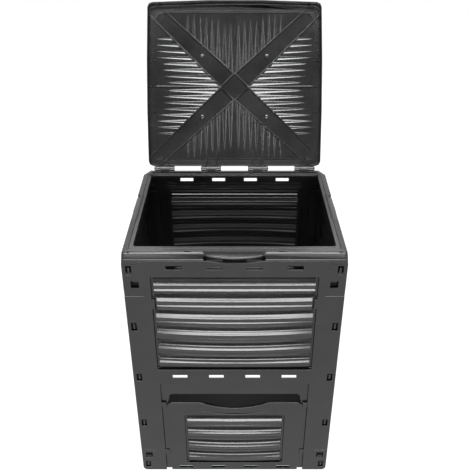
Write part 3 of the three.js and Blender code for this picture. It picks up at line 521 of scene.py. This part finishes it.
def soften(item, rounding):
    """Rounds a piece's sharp edges."""
    bevel = item.modifiers.new("edges", "BEVEL")
    bevel.limit_method = "ANGLE"
    bevel.angle_limit = SHARP_ANGLE
    bevel.width = rounding * MM
    bevel.segments = ROUNDING_SEGMENTS
    bevel.use_clamp_overlap = False


def place(name, node, mesh, body, slot, rounding):
    """Turns a mesh in a node's own axes into the piece that stands for the node.

    A rounding of 0 leaves its edges sharp.
    """
    bm = bmesh.new()
    bm.from_mesh(mesh)
    bmesh.ops.remove_doubles(bm, verts=bm.verts, dist=WELD)
    bmesh.ops.dissolve_limit(bm, angle_limit=FLAT_ANGLE, verts=bm.verts, edges=bm.edges)
    bm.to_mesh(mesh)
    bm.free()
    mesh.transform(to_frame @ own_axes[node])
    mesh.materials.clear()
    mesh.materials.append(finishes[slot])
    mesh.shade_smooth()
    mesh.set_sharp_from_angle(angle=SHARP_ANGLE)
    mesh.name = name
    item = bpy.data.objects.new(name, mesh)
    bpy.context.scene.collection.objects.link(item)
    if rounding:
        soften(item, rounding)
    flat = item.modifiers.new("normals", "WEIGHTED_NORMAL")
    flat.keep_sharp = True
    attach(item, body)
    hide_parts(node)


# Ribbed windows

def wall_window(half, top, notched):
    return Window(
        half=half,
        top=top,
        ribs=WINDOW_RIBS,
        pitch=RIB_PITCH,
        bow=WINDOW_BOW,
        back=GROOVE_DEPTH + SHEET,
        notched=notched,
    )


def door_window():
    return Window(
        half=DOOR_WINDOW_HALF,
        top=DOOR_WINDOW_TOP,
        ribs=DOOR_RIBS,
        pitch=DOOR_RIB_PITCH,
        bow=DOOR_BOW,
        back=flange_back,
        notched=False,
    )


def bow_at(across, fall, bow):
    """How far a window bows out, across from -1 to 1 and at a share of its fall."""
    return bow * (1 - across ** 2) * np.sin(math.pi * fall ** BOW_SKEW)


def rib_shape(fall, row_share, top_shares, low_shares):
    """A rib's relief down its fall: a mix of two sections, softened, and none at its ends."""
    falls, reliefs = (1 - row_share) * np.array(top_shares) + row_share * np.array(low_shares)
    blur = np.linspace(-RIB_SOFTNESS_SHARE, RIB_SOFTNESS_SHARE, RIB_SOFT_STEPS)
    near = fall[:, None] + blur[None, :]
    relief = np.interp(near, falls, reliefs).mean(axis=1)
    ends = np.minimum(fall, 1 - fall) / RIB_SOFTNESS_SHARE
    return relief * np.clip(ends, 0, 1)


def rib_rows(window, top_shares, low_shares):
    """Heights down a window's sheet and the relief at each."""
    bottom = window.top - window.ribs * window.pitch
    last = window.ribs - 1
    heights = []
    reliefs = []
    for rib in range(window.ribs):
        high = min(window.top - GROOVE_RISE, window.top - rib * window.pitch)
        low = max(bottom + GROOVE_RISE, window.top - (rib + 1) * window.pitch)
        fall = np.linspace(0, 1, RIB_STEPS + 1)
        if rib < last:
            fall = fall[:-1]
        heights.append(high + (low - high) * fall)
        reliefs.append(RIB_RELIEF * rib_shape(fall, rib / last, top_shares, low_shares))
    return np.concatenate(heights), np.concatenate(reliefs)


def rib_columns(half):
    """Places across a sheet, closer together at its round ends, and how far they round back."""
    middle = np.linspace(-1, 1, BOW_STEPS + 1) * (half - RIB_END_ROUND)
    ends = np.array(RIB_END_SHARES)
    right = half - RIB_END_ROUND + ends * RIB_END_ROUND
    places = np.concatenate([-right[::-1], middle, right])
    drop = RIB_END_ROUND * (1 - np.sqrt(1 - ends ** 2))
    drops = np.concatenate([drop[::-1], np.zeros(len(middle)), drop])
    return places, drops


def rib_grid(window, rows, half, set_in, lap):
    """Points on a face of a window's sheet, whose outermost ones lap past its edge."""
    heights, reliefs = rows
    places, drops = rib_columns(half)
    fall = (window.top - heights) / (window.ribs * window.pitch)
    bow = bow_at(places[None, :] / half, fall[:, None], window.bow)
    softened = drops[None, :] * (reliefs[:, None] / RIB_RELIEF)
    depth = RIB_VALLEY - reliefs[:, None] - bow + softened + set_in
    rise = np.zeros(len(heights))
    rise[0] = lap
    rise[-1] = -lap
    grid = np.empty(depth.shape + (3,))
    grid[..., 0] = places[None, :] + np.sign(places)[None, :] * lap
    grid[..., 1] = depth
    grid[..., 2] = (heights + rise)[:, None]
    return grid


def flattened(grid, y):
    """The same grid, laid flat at one depth."""
    flat = grid.copy()
    flat[..., 1] = y
    return flat


def notch_blocks(window, grow):
    """What the notches take from both ends of a rib, grown all round."""
    low = NOTCH_TOP - NOTCH_RISE - grow
    high = NOTCH_TOP + grow
    blocks = []
    for side in (-1, 1):
        end = side * (window.half - GROOVE_WIDTH - NOTCH_LENGTH - grow)
        blocks.append(block(end, side * BIN_WIDTH, -OVERRUN, 2 * OVERRUN, low, high))
    return blocks


def window_sheet(window):
    """The fine ribbed sheet of a window, with its edges run back to the groove's floor."""
    half = window.half - GROOVE_WIDTH
    outer = rib_grid(window, rib_rows(window, RIB_TOP_SHARES, RIB_LOW_SHARES), half, 0, LAP)
    raised = slab(outer, flattened(outer, window.back))
    rows = rib_rows(window, RIB_INSIDE_SHARES, RIB_INSIDE_SHARES)
    inner = rib_grid(window, rows, half - SHEET, SHEET, 0)
    low = inner[-1, 0, 2] + SHEET
    high = inner[0, 0, 2] - SHEET
    inner[..., 2] = np.clip(inner[..., 2], low, high)
    hollow = slab(inner, flattened(inner, OVERRUN))
    if window.notched:
        raised = cut(raised, *notch_blocks(window, LAP_CUT - LAP))
        hollow = cut(hollow, *notch_blocks(window, SHEET))
    return cut(raised, hollow)


def window_gap(window):
    """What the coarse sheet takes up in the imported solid."""
    half = window.half - GROOVE_WIDTH + LAP_CUT
    bottom = window.top - window.ribs * window.pitch
    gap = block(
        -half, half,
        -OVERRUN, OVERRUN,
        bottom + GROOVE_RISE - LAP_CUT, window.top - GROOVE_RISE + LAP_CUT,
    )
    return cut(gap, *notch_blocks(window, 0)) if window.notched else gap


def with_fine_window(wall, window):
    return join(cut(wall, window_gap(window)), window_sheet(window))


# Walls and door

def front_wall():
    window = wall_window(half_width - WINDOW_MARGIN, WINDOW_TOP, True)
    mesh = with_fine_window(cad_solid("front_wall"), window)
    place("front_panel", "front_wall", mesh, "bin", "wall_plastic", EDGE_ROUNDING)


def backing(x, z, width, height):
    """A thin plate that closes a window or hole in a wall."""
    return block(
        x - width / 2 - LAP, x + width / 2 + LAP,
        BACKING_FRONT, BACKING_REAR,
        z - height / 2 - LAP, z + height / 2 + LAP,
    )


def clip_backing(edge, hand):
    """The plate behind the top clip window beside an edge of a wall."""
    middle = edge - CLIP_INSET - CLIP_WIDTH / 2
    return backing(hand * middle, CLIP_LEVEL, CLIP_WIDTH, CLIP_HEIGHT)


def hole_backing(hand):
    return backing(hand * (half_width - HOLE_INSET), HOLE_LEVEL, SQUARE_HOLE, SQUARE_HOLE)


def two_window_wall(name, node, half, plates):
    """A wall with an upper and a lower window, and plates behind its blind holes."""
    mesh = join(cad_solid(node), *plates)
    for top in (WINDOW_TOP, LOWER_WINDOW_TOP):
        mesh = with_fine_window(mesh, wall_window(half, top, False))
    place(name, node, mesh, "bin", "wall_plastic", EDGE_ROUNDING)


def rear_wall():
    holes = [hole_backing(-1), hole_backing(1)]
    clips = [clip_backing(half_width, -1), clip_backing(half_width, 1)]
    two_window_wall("rear_panel", "rear_wall", half_width - WINDOW_MARGIN, holes + clips)


def side_wall(name, node, hand):
    plate = clip_backing(side_wall_edge, hand)
    two_window_wall(name, node, half_depth - WINDOW_MARGIN, [plate])


def right_wall():
    side_wall("right_panel", "right_wall", 1)


def left_wall():
    side_wall("left_panel", "left_wall", -1)


def door():
    mesh = with_fine_window(cad_solid("door"), door_window())
    place("door_panel", "door", mesh, "door", "wall_plastic", EDGE_ROUNDING)


# Top frame

def grip_lip(wall, insets):
    """A hand grip's lip over its pocket, wide at its ends, drawn on a wall."""
    end, corner, middle = insets
    shares = np.linspace(-1, 1, GRIP_STEPS + 1)
    nose = [(GRIP_CORNER * share, middle + (corner - middle) * share ** 2) for share in shares]
    plan = [
        (-GRIP_HALF, GRIP_ROOT),
        (-GRIP_HALF, end),
        *nose,
        (GRIP_HALF, end),
        (GRIP_HALF, GRIP_ROOT),
    ]
    top = FRAME_TOP + LAP_CUT
    low = top - GRIP_DROP
    profile = [
        (GRIP_ROOT, top),
        (end, top),
        (GRIP_FRONT, low),
        (GRIP_FRONT, low - GRIP_THICKNESS),
        (end, top - GRIP_THICKNESS),
        (GRIP_ROOT, top - GRIP_THICKNESS),
    ]
    roof = prism(profile, 0, -GRIP_HALF - LAP, GRIP_HALF + LAP)
    lip = cross(roof, prism(plan, 2, 0, 2 * FRAME_TOP))
    lip.transform(own_axes[wall])
    return lip


def frame_lines():
    """The line in front of the ridge, on each side of the front grip."""
    low = FRAME_TOP - LINE_DEPTH
    high = FRAME_TOP + OVERRUN
    start = GRIP_HALF + LAP
    return [
        block(side * start, side * LINE_END, LINE_FRONT, LINE_REAR, low, high)
        for side in (-1, 1)
    ]


def bead_block(set_in, low, high):
    return block(
        -BEAD_HALF + set_in, BEAD_HALF - set_in,
        BEAD_FRONT + set_in, BEAD_REAR - set_in,
        low, high,
    )


def mouth_bead():
    """A fine bead round the step beside the mouth."""
    outer = bead_block(-BEAD_WIDTH / 2, FRAME_TOP - BEAD_WIDTH, FRAME_TOP + BEAD_RISE)
    return cut(outer, bead_block(BEAD_WIDTH / 2, 0, 2 * FRAME_TOP))


def top_frame():
    mesh = cut(cad_solid("top_frame"), *frame_lines())
    mesh = join(mesh, grip_lip("front_wall", GRIP_INSETS), mouth_bead())
    for wall in ("left_wall", "right_wall"):
        mesh = join(mesh, grip_lip(wall, SIDE_GRIP_INSETS))
    place("rim_frame", "top_frame", mesh, "bin", "wall_plastic", EDGE_ROUNDING)


# The lid's field and its ribbed sectors

def lid_point(across, along, lift):
    """Points at shares of the field's half width and half depth, lifted from its low pyramid."""
    slope = 1 - np.maximum(np.abs(across), np.abs(along))
    return np.stack([
        across * lid_field_half,
        lid_centre + along * lid_field_reach,
        lid_plate + LID_DOME * slope + lift,
    ], axis=-1)


def field_plan(grow):
    """The lid's field in plan, with round corners, grown outwards."""
    half = lid_field_half + grow
    reach = lid_field_reach + grow
    radius = FIELD_CORNER + grow
    outline = []
    for quarter, (a, b) in enumerate(((1, -1), (1, 1), (-1, 1), (-1, -1))):
        for step in range(CORNER_STEPS + 1):
            turn = (quarter - 1 + step / CORNER_STEPS) * math.pi / 2
            x = a * (half - radius) + radius * math.cos(turn)
            y = b * (reach - radius) + radius * math.sin(turn)
            outline.append((x, lid_centre + y))
    return outline


def field_prism(grow, low, high):
    return prism(field_plan(grow), 2, low, high)


def field_block(grow, low, high):
    """The field's space with square corners, grown outwards."""
    half = lid_field_half + grow
    reach = lid_field_reach + grow
    return block(-half, half, lid_centre - reach, lid_centre + reach, low, high)


def wave_ribs(shares, length):
    """Places across a sector at shares of the way out, and the lift of its ribs there."""
    level = np.zeros(len(shares))
    places = [level - length]
    lifts = [level]
    for rib in range(WAVE_COUNT):
        from_middle = rib - (WAVE_COUNT - 1) / 2
        middle = from_middle * WAVE_PITCH + math.copysign(WAVE_PART, from_middle)
        relief = WAVE_RELIEF * (1 - WAVE_UNEVEN_SHARE * math.sin(WAVE_UNEVEN_TURN * rib) ** 2)
        end = WAVE_END_SHARE + WAVE_END_GAIN_SHARE * min(1, abs(middle) / WAVE_END_RUN)
        swell = np.clip((end - shares) / WAVE_SWELL_SHARE, 0, 1) ** WAVE_TIP_POWER
        half = WAVE_LEAST + (WAVE_PITCH * WAVE_FILL_SHARE / 2 - WAVE_LEAST) * swell
        for across in np.linspace(-1, 1, WAVE_STEPS + 1):
            places.append(middle + half * across)
            lifts.append(relief * swell * (1 - abs(across) ** WAVE_POWER))
    places.append(level + length)
    lifts.append(level)
    return np.array(places), np.array(lifts)


def wave_sector(sideways, hand):
    """One of the four ribbed triangles of the field: to a side, or to the front or the rear."""
    length = lid_field_reach if sideways else lid_field_half
    field = lid_field_half if sideways else lid_field_reach
    shares = np.linspace(0, 1, WAVE_COLUMNS + 1)
    beside, lifts = wave_ribs(shares, length)
    crown = SECTOR_CROWN * np.sin(math.pi * shares)
    height = lifts + lid_plate + (LID_DOME * (1 - shares) + crown)
    out = np.broadcast_to(hand * shares * field, height.shape)
    across, along = (out, beside) if sideways else (beside, out)
    grid = np.stack([across, lid_centre + along, height], axis=-1)
    below = grid.copy()
    below[..., 2] -= LID_SHEET
    corners = np.array([(0, 0), (hand * field, -length), (hand * field, length)])
    if not sideways:
        corners = corners[:, ::-1]
    plan = [(x, lid_centre + y) for x, y in corners * SECTOR_LAP_SHARE]
    return cross(slab(grid, below), prism(plan, 2, below_lid, above_lid))


def wave_roof():
    """The four sectors, joined and cut to the field."""
    roof = wave_sector(True, 1)
    for sideways, hand in ((True, -1), (False, 1), (False, -1)):
        roof = join(roof, wave_sector(sideways, hand))
    return cross(roof, field_prism(field_lap, below_lid, above_lid))


# The lid's bands, fins and bosses

def band_width(shares):
    """A band's width at shares of the way to the field's corner."""
    return BAND_WIDTH - BAND_TAPER * shares


def band_strip(signs, shares, offset, width, top, low, crown):
    """A strip along a diagonal, between two lifts from the field's low pyramid."""
    run = np.array([signs[0] * lid_field_half, signs[1] * lid_field_reach])
    run = run / np.linalg.norm(run)
    aside = np.array([-run[1], run[0], 0])
    shift = aside * offset[:, None]
    upper = lid_point(signs[0] * shares, signs[1] * shares, top) + shift
    lower = lid_point(signs[0] * shares, signs[1] * shares, low) + shift
    return strip(upper, lower, aside * width[:, None] / 2, crown)


def band_plate(signs, top, low):
    """A band's whole width, from the lid's middle outwards, between two lifts."""
    shares = np.linspace(0, BAND_REACH_SHARE, BAND_STEPS)
    level = np.zeros(BAND_STEPS)
    return band_strip(signs, shares, level, band_width(shares), level + top, level + low, 0)


def band_sheet(signs):
    return cross(band_plate(signs, 0, -BAND_SKIN), field_prism(field_lap, below_lid, above_lid))


def band_room(signs):
    """What a band takes out of the sectors."""
    return band_plate(signs, OVERRUN, -OVERRUN)


def band_fins(signs):
    """The fins along a band's two edges, from the diamond to the lid's skirt."""
    shares = np.linspace(DIAMOND_HALF / (2 * lid_field_half), BAND_REACH_SHARE, BAND_STEPS)
    level = np.zeros(BAND_STEPS)
    rise = FIN_RISE * np.maximum(0, 1 - shares)
    low = level - FIN_DEPTH - LID_SHEET
    skirt = field_prism(LID_BORDER - SKIRT_SKIN, below_lid, above_lid)
    fins = []
    for edge in (-1, 1):
        offset = edge * band_width(shares) / 2
        fin = band_strip(signs, shares, offset, level + FIN, rise, low, FIN_CROWN)
        fins.append(cross(fin, skirt))
    return fins


def band_boss(signs):
    """A small boss under a band, with a blind hole."""
    profile = [(BOSS_DEPTH * along, BOSS_RADIUS * around) for along, around in BOSS_SHARES]
    boss = lathe(profile, BOSS_SIDES)
    across, along = (sign * BOSS_PLACE_SHARE for sign in signs)
    foot = Matrix.Translation(lid_point(across, along, -BAND_SKIN / 2))
    boss.transform(foot @ Matrix.Rotation(math.pi / 2, 4, "Y"))
    return boss


def midline_fins():
    """Thin fins from the diamond to the middle of each side."""
    shares = np.linspace(DIAMOND_HALF / lid_field_half, 1, BAND_STEPS)
    fins = []
    for hand in (-1, 1):
        for x, y in ((1, 0), (0, 1)):
            top = lid_point(hand * x * shares, hand * y * shares, -LID_SHEET / 2)
            low = lid_point(hand * x * shares, hand * y * shares, -FIN_DEPTH - LID_SHEET)
            fins.append(strip(top, low, np.array([y, x, 0]) * FIN / 2, FIN_CROWN))
    return fins


def level_fin(start, end, top, low):
    """A level fin between two places in plan."""
    run = (end - start) / np.linalg.norm(end - start)
    aside = np.array([-run[1], run[0], 0]) * FIN / 2
    upper = np.array([(*start, top), (*end, top)])
    lower = np.array([(*start, low), (*end, low)])
    return strip(upper, lower, aside, FIN_CROWN)


def lid_diamond():
    """The plate where the bands cross, pointed like the field above it, and its edge's fins."""
    edge = lid_plate + LID_DOME * (1 - DIAMOND_HALF / lid_field_reach) - LAP
    low = edge - BAND_SKIN
    corners = [
        (-DIAMOND_HALF, lid_centre),
        (0, lid_centre - DIAMOND_HALF),
        (DIAMOND_HALF, lid_centre),
        (0, lid_centre + DIAMOND_HALF),
    ]
    count = len(corners)
    points = [(*corner, level) for level in (low, edge) for corner in corners]
    points.append((0, lid_centre, lid_plate + LID_DOME - LAP))
    faces = [tuple(range(count - 1, -1, -1))]
    fins = []
    for i in range(count):
        j = (i + 1) % count
        faces += [(i, j, j + count, i + count), (i + count, j + count, 2 * count)]
        start, end = np.array(corners[i]), np.array(corners[j])
        fins.append(level_fin(start, end, low + BAND_SKIN / 2, low - FIN_DEPTH))
    return [mesh_of(points, faces), *fins]


# The lid's border, and the lid itself

def field_rim():
    """The border's plate in the field's round corners, and the fin round the field."""
    low = lid_plate - FIN_DEPTH
    corners = cut(
        field_block(2 * LAP - FIN / 2, lid_plate - SKIRT_SKIN, lid_plate),
        field_prism(0, low - OVERRUN, above_lid),
    )
    ring = cut(
        field_prism(FIN / 2 + LAP, low, lid_plate),
        field_prism(-FIN / 2, low - OVERRUN, above_lid),
    )
    return [corners, ring]


def hinge_gusset(x):
    """A pointed rib that runs over the border at a hinge."""
    edge = lid_centre + lid_depth / 2 - SKIRT_SKIN / 2
    rear = lid_centre + lid_field_reach
    top = lid_plate - LID_SHEET / 2
    low = lid_plate - GUSSET_DEPTH
    side = [(edge, top), (rear - GUSSET_REACH, top), (rear, low), (edge, low)]
    plan = [
        (x - GUSSET_WIDTH / 2, edge),
        (x - GUSSET_WIDTH / 2, rear),
        (x, rear - GUSSET_REACH),
        (x + GUSSET_WIDTH / 2, rear),
        (x + GUSSET_WIDTH / 2, edge),
    ]
    wedge = prism(plan, 2, below_lid, lid_plate)
    return cross(wedge, prism(side, 0, x - GUSSET_WIDTH, x + GUSSET_WIDTH))


def hinge_gussets():
    """A pair of gussets at each of the two middle hinges."""
    middles = (-HINGE_INNER, HINGE_INNER)
    return [hinge_gusset(middle + hand * GUSSET_OFFSET) for middle in middles for hand in (-1, 1)]


def border_wedge(hand, insets, depth):
    """A strip under the front or rear border, from its thin edge to its thick one."""
    thin, thick = (lid_centre + hand * (lid_depth / 2 - inset) for inset in insets)
    low = lid_plate - SKIRT_SKIN
    profile = [(thin, low + LAP), (thin, low - LAP), (thick, low - depth), (thick, low + LAP)]
    return prism(profile, 0, -WEDGE_HALF, WEDGE_HALF)


def border_wedges():
    return [
        border_wedge(-1, FRONT_WEDGE_INSETS, FRONT_WEDGE_DEPTH),
        border_wedge(1, REAR_WEDGE_INSETS, REAR_WEDGE_DEPTH),
    ]


def lid():
    """The lid with its field made afresh: waved sectors, bands, fins, diamond, bosses, gussets."""
    roof = wave_roof()
    bands = []
    for signs in ((-1, -1), (1, -1), (1, 1), (-1, 1)):
        roof = cut(roof, band_room(signs))
        bands += [band_sheet(signs), *band_fins(signs), band_boss(signs)]
    tray = cut(
        cad_solid("lid"),
        field_block(LAP - FIN / 2, below_lid, above_lid),
        field_block(FIN / 2 + LAP_CUT, below_lid, lid_plate - SKIRT_SKIN),
    )
    tray = join(tray, *field_rim(), roof, *bands, *lid_diamond())
    tray = join(tray, *midline_fins(), *hinge_gussets(), *border_wedges())
    place("lid_tray", "lid", tray, "lid", "wall_plastic", LID_EDGE_ROUNDING)


# Hinge pins

def pin_profile():
    """Places along a pin and the radius at each, from its domed head to its tip."""
    head = [
        (-PIN_HEAD_THICKNESS * along, PIN_HEAD_RADIUS * around)
        for along, around in PIN_HEAD_SHARES
    ]
    return [
        *head,
        (0, PIN_RADIUS),
        (pin_length - PIN_TIP_RUN, PIN_RADIUS),
        (pin_length, PIN_RADIUS - PIN_TIP_DROP),
        (pin_length + PIN_TIP_DOME, 0),
    ]


def hinge_pin(pin):
    mesh = lathe(pin_profile(), PIN_SIDES)
    place(f"lid_pin_{pin}", f"hinge_pin_{pin}", mesh, "bin", "pin_plastic", 0)


# Materials

def add_node(tree, kind, inputs, **settings):
    """A shader node whose inputs are plain values or other nodes' outputs."""
    made = tree.nodes.new(kind)
    for name, value in settings.items():
        setattr(made, name, value)
    for name, value in inputs.items():
        if isinstance(value, bpy.types.NodeSocket):
            tree.links.new(value, made.inputs[name])
        else:
            made.inputs[name].default_value = value
    return made


def calculated(tree, operation, first, second, **settings):
    inputs = {0: first, 1: second}
    return add_node(tree, "ShaderNodeMath", inputs, operation=operation, **settings).outputs[0]


def ramp(tree, value, low, high, start=0, end=1):
    """A value mapped from low and high to start and end, and held beyond them."""
    inputs = {"Value": value, "From Min": low, "From Max": high, "To Min": start, "To Max": end}
    return add_node(tree, "ShaderNodeMapRange", inputs).outputs["Result"]


def mixed_colour(tree, factor, first, second):
    inputs = {"Factor": factor, "A": first, "B": second}
    return add_node(tree, "ShaderNodeMix", inputs, data_type="RGBA").outputs["Result"]


def noise(tree, scale, detail):
    where = tree.nodes.new("ShaderNodeTexCoord").outputs["Object"]
    inputs = {"Vector": where, "Scale": scale, "Detail": detail, "Roughness": NOISE_ROUGHNESS}
    return add_node(tree, "ShaderNodeTexNoise", inputs).outputs["Fac"]


def grey(level):
    return (level, level, level, 1)


def plastic(name, dark, light, roughness, grain):
    """Moulded plastic: cloudy colour, fine grain and a satin face."""
    material = bpy.data.materials.new(name)
    material.use_nodes = True
    tree = material.node_tree
    shader = tree.nodes["Principled BSDF"]
    clouds = noise(tree, CLOUD_SCALE, CLOUD_DETAIL)
    specks = noise(tree, SPECK_SCALE, SPECK_DETAIL)
    level = ramp(tree, calculated(tree, "ADD", clouds, specks), DARK_LEVEL, LIGHT_LEVEL)
    gloss = ramp(tree, clouds, 0, 1, roughness - ROUGHNESS_FALL, roughness + ROUGHNESS_RISE)
    relief = {"Height": specks, "Strength": grain, "Distance": GRAIN_HEIGHT}
    bump = add_node(tree, "ShaderNodeBump", relief)
    tree.links.new(mixed_colour(tree, level, dark, light), shader.inputs["Base Color"])
    tree.links.new(gloss, shader.inputs["Roughness"])
    tree.links.new(bump.outputs["Normal"], shader.inputs["Normal"])
    shader.inputs["IOR"].default_value = PLASTIC_IOR
    return material


def charcoal_plastic():
    return plastic(
        "charcoal_moulding", CHARCOAL_DARK, CHARCOAL_LIGHT, CHARCOAL_ROUGHNESS, CHARCOAL_GRAIN
    )


def pin_plastic():
    return plastic("pin_moulding", PIN_DARK, PIN_LIGHT, PIN_ROUGHNESS, PIN_GRAIN)


# Studio

def lamp(name, where, target, size, power):
    light = bpy.data.lights.new(name, "AREA")
    light.shape = "RECTANGLE"
    light.size, light.size_y = size
    light.energy = power
    item = bpy.data.objects.new(name, light)
    bpy.context.scene.collection.objects.link(item)
    item.location = where
    away = Vector(where) - Vector(target)
    item.rotation_euler = away.to_track_quat("Z", "Y").to_euler()


def camera_ray(tree):
    """1 for rays that show the background: from the camera, or mirrored or let through."""
    path = tree.nodes.new("ShaderNodeLightPath")
    shown = path.outputs["Is Camera Ray"]
    for kind in ("Is Glossy Ray", "Is Transmission Ray"):
        shown = calculated(tree, "MAXIMUM", shown, path.outputs[kind])
    return shown


def white_world():
    """White round the room up to a dimmer ceiling, and a little light from all of it."""
    world = bpy.data.worlds.new("studio")
    bpy.context.scene.world = world
    world.use_nodes = True
    tree = world.node_tree
    toward = tree.nodes.new("ShaderNodeTexCoord").outputs["Generated"]
    split = add_node(tree, "ShaderNodeSeparateXYZ", {"Vector": toward})
    ceiling = ramp(tree, split.outputs["Z"], CEILING_LOW, CEILING_HIGH, 1, CEILING_SHADE)
    colour = mixed_colour(tree, camera_ray(tree), grey(AMBIENT), ceiling)
    tree.links.new(colour, tree.nodes["Background"].inputs["Color"])


def painted_ground_shade(tree):
    """The mask of painted shade: 1 on the middle of the ground inside the bin, where shade is
    painted, 0 outside it, with a soft edge.
    """
    where = tree.nodes.new("ShaderNodeTexCoord").outputs["Object"]
    split = add_node(tree, "ShaderNodeSeparateXYZ", {"Vector": where})
    shade = 1
    for axis, (low, high) in (("X", PAINTED_SHADE_ACROSS), ("Y", PAINTED_SHADE_ALONG)):
        for edge, hand in ((low, 1), (high, -1)):
            blur = hand * PAINTED_SHADE_BLUR
            inside = ramp(tree, split.outputs[axis], edge - blur, edge + blur)
            shade = calculated(tree, "MULTIPLY", shade, inside)
    return shade


def floor_white():
    """The floor's matt white, which glows for the camera, except for a dark patch of painted shade
    inside the bin.
    """
    material = bpy.data.materials.new("floor_white")
    material.use_nodes = True
    tree = material.node_tree
    shader = tree.nodes["Principled BSDF"]
    shade = painted_ground_shade(tree)
    # Painted shade: inside the bin the floor's colour turns dark grey and it does not glow
    colour = mixed_colour(tree, shade, grey(FLOOR_GREY), grey(PAINTED_SHADE_GREY))
    glow = calculated(tree, "SUBTRACT", camera_ray(tree), shade, use_clamp=True)
    tree.links.new(colour, shader.inputs["Base Color"])
    tree.links.new(glow, shader.inputs["Emission Strength"])
    shader.inputs["Emission Color"].default_value = grey(1)
    shader.inputs["Roughness"].default_value = FLOOR_ROUGHNESS
    shader.inputs["Specular IOR Level"].default_value = 0
    return material


def white_floor():
    corners = [(-FLOOR_HALF, -FLOOR_HALF, 0), (FLOOR_HALF, -FLOOR_HALF, 0)]
    corners += [(FLOOR_HALF, FLOOR_HALF, 0), (-FLOOR_HALF, FLOOR_HALF, 0)]
    mesh = mesh_of(corners, [(0, 1, 2, 3)])
    mesh.materials.append(floor_white())
    floor = bpy.data.objects.new("floor", mesh)
    bpy.context.scene.collection.objects.link(floor)
    floor.location.z = -FLOOR_DROP


def photo_camera():
    data = bpy.data.cameras.new("photo")
    data.lens = CAMERA_LENS
    data.shift_x, data.shift_y = CAMERA_SHIFT
    item = bpy.data.objects.new("photo", data)
    bpy.context.scene.collection.objects.link(item)
    item.location = to_frame @ Vector(CAMERA_PLACE)
    item.rotation_euler = (math.pi / 2 - CAMERA_PITCH, 0, 0)
    bpy.context.scene.camera = item


bpy.context.scene.view_settings.view_transform = "Standard"
photo_camera()
finishes = {"wall_plastic": charcoal_plastic(), "pin_plastic": pin_plastic()}

front_wall()
rear_wall()
right_wall()
left_wall()
door()
top_frame()
lid()
for number in range(1, len(hinge_places) + 1):
    hinge_pin(number)

white_floor()
white_world()
for lamp_name, settings in LAMPS.items():
    lamp(lamp_name, *settings)
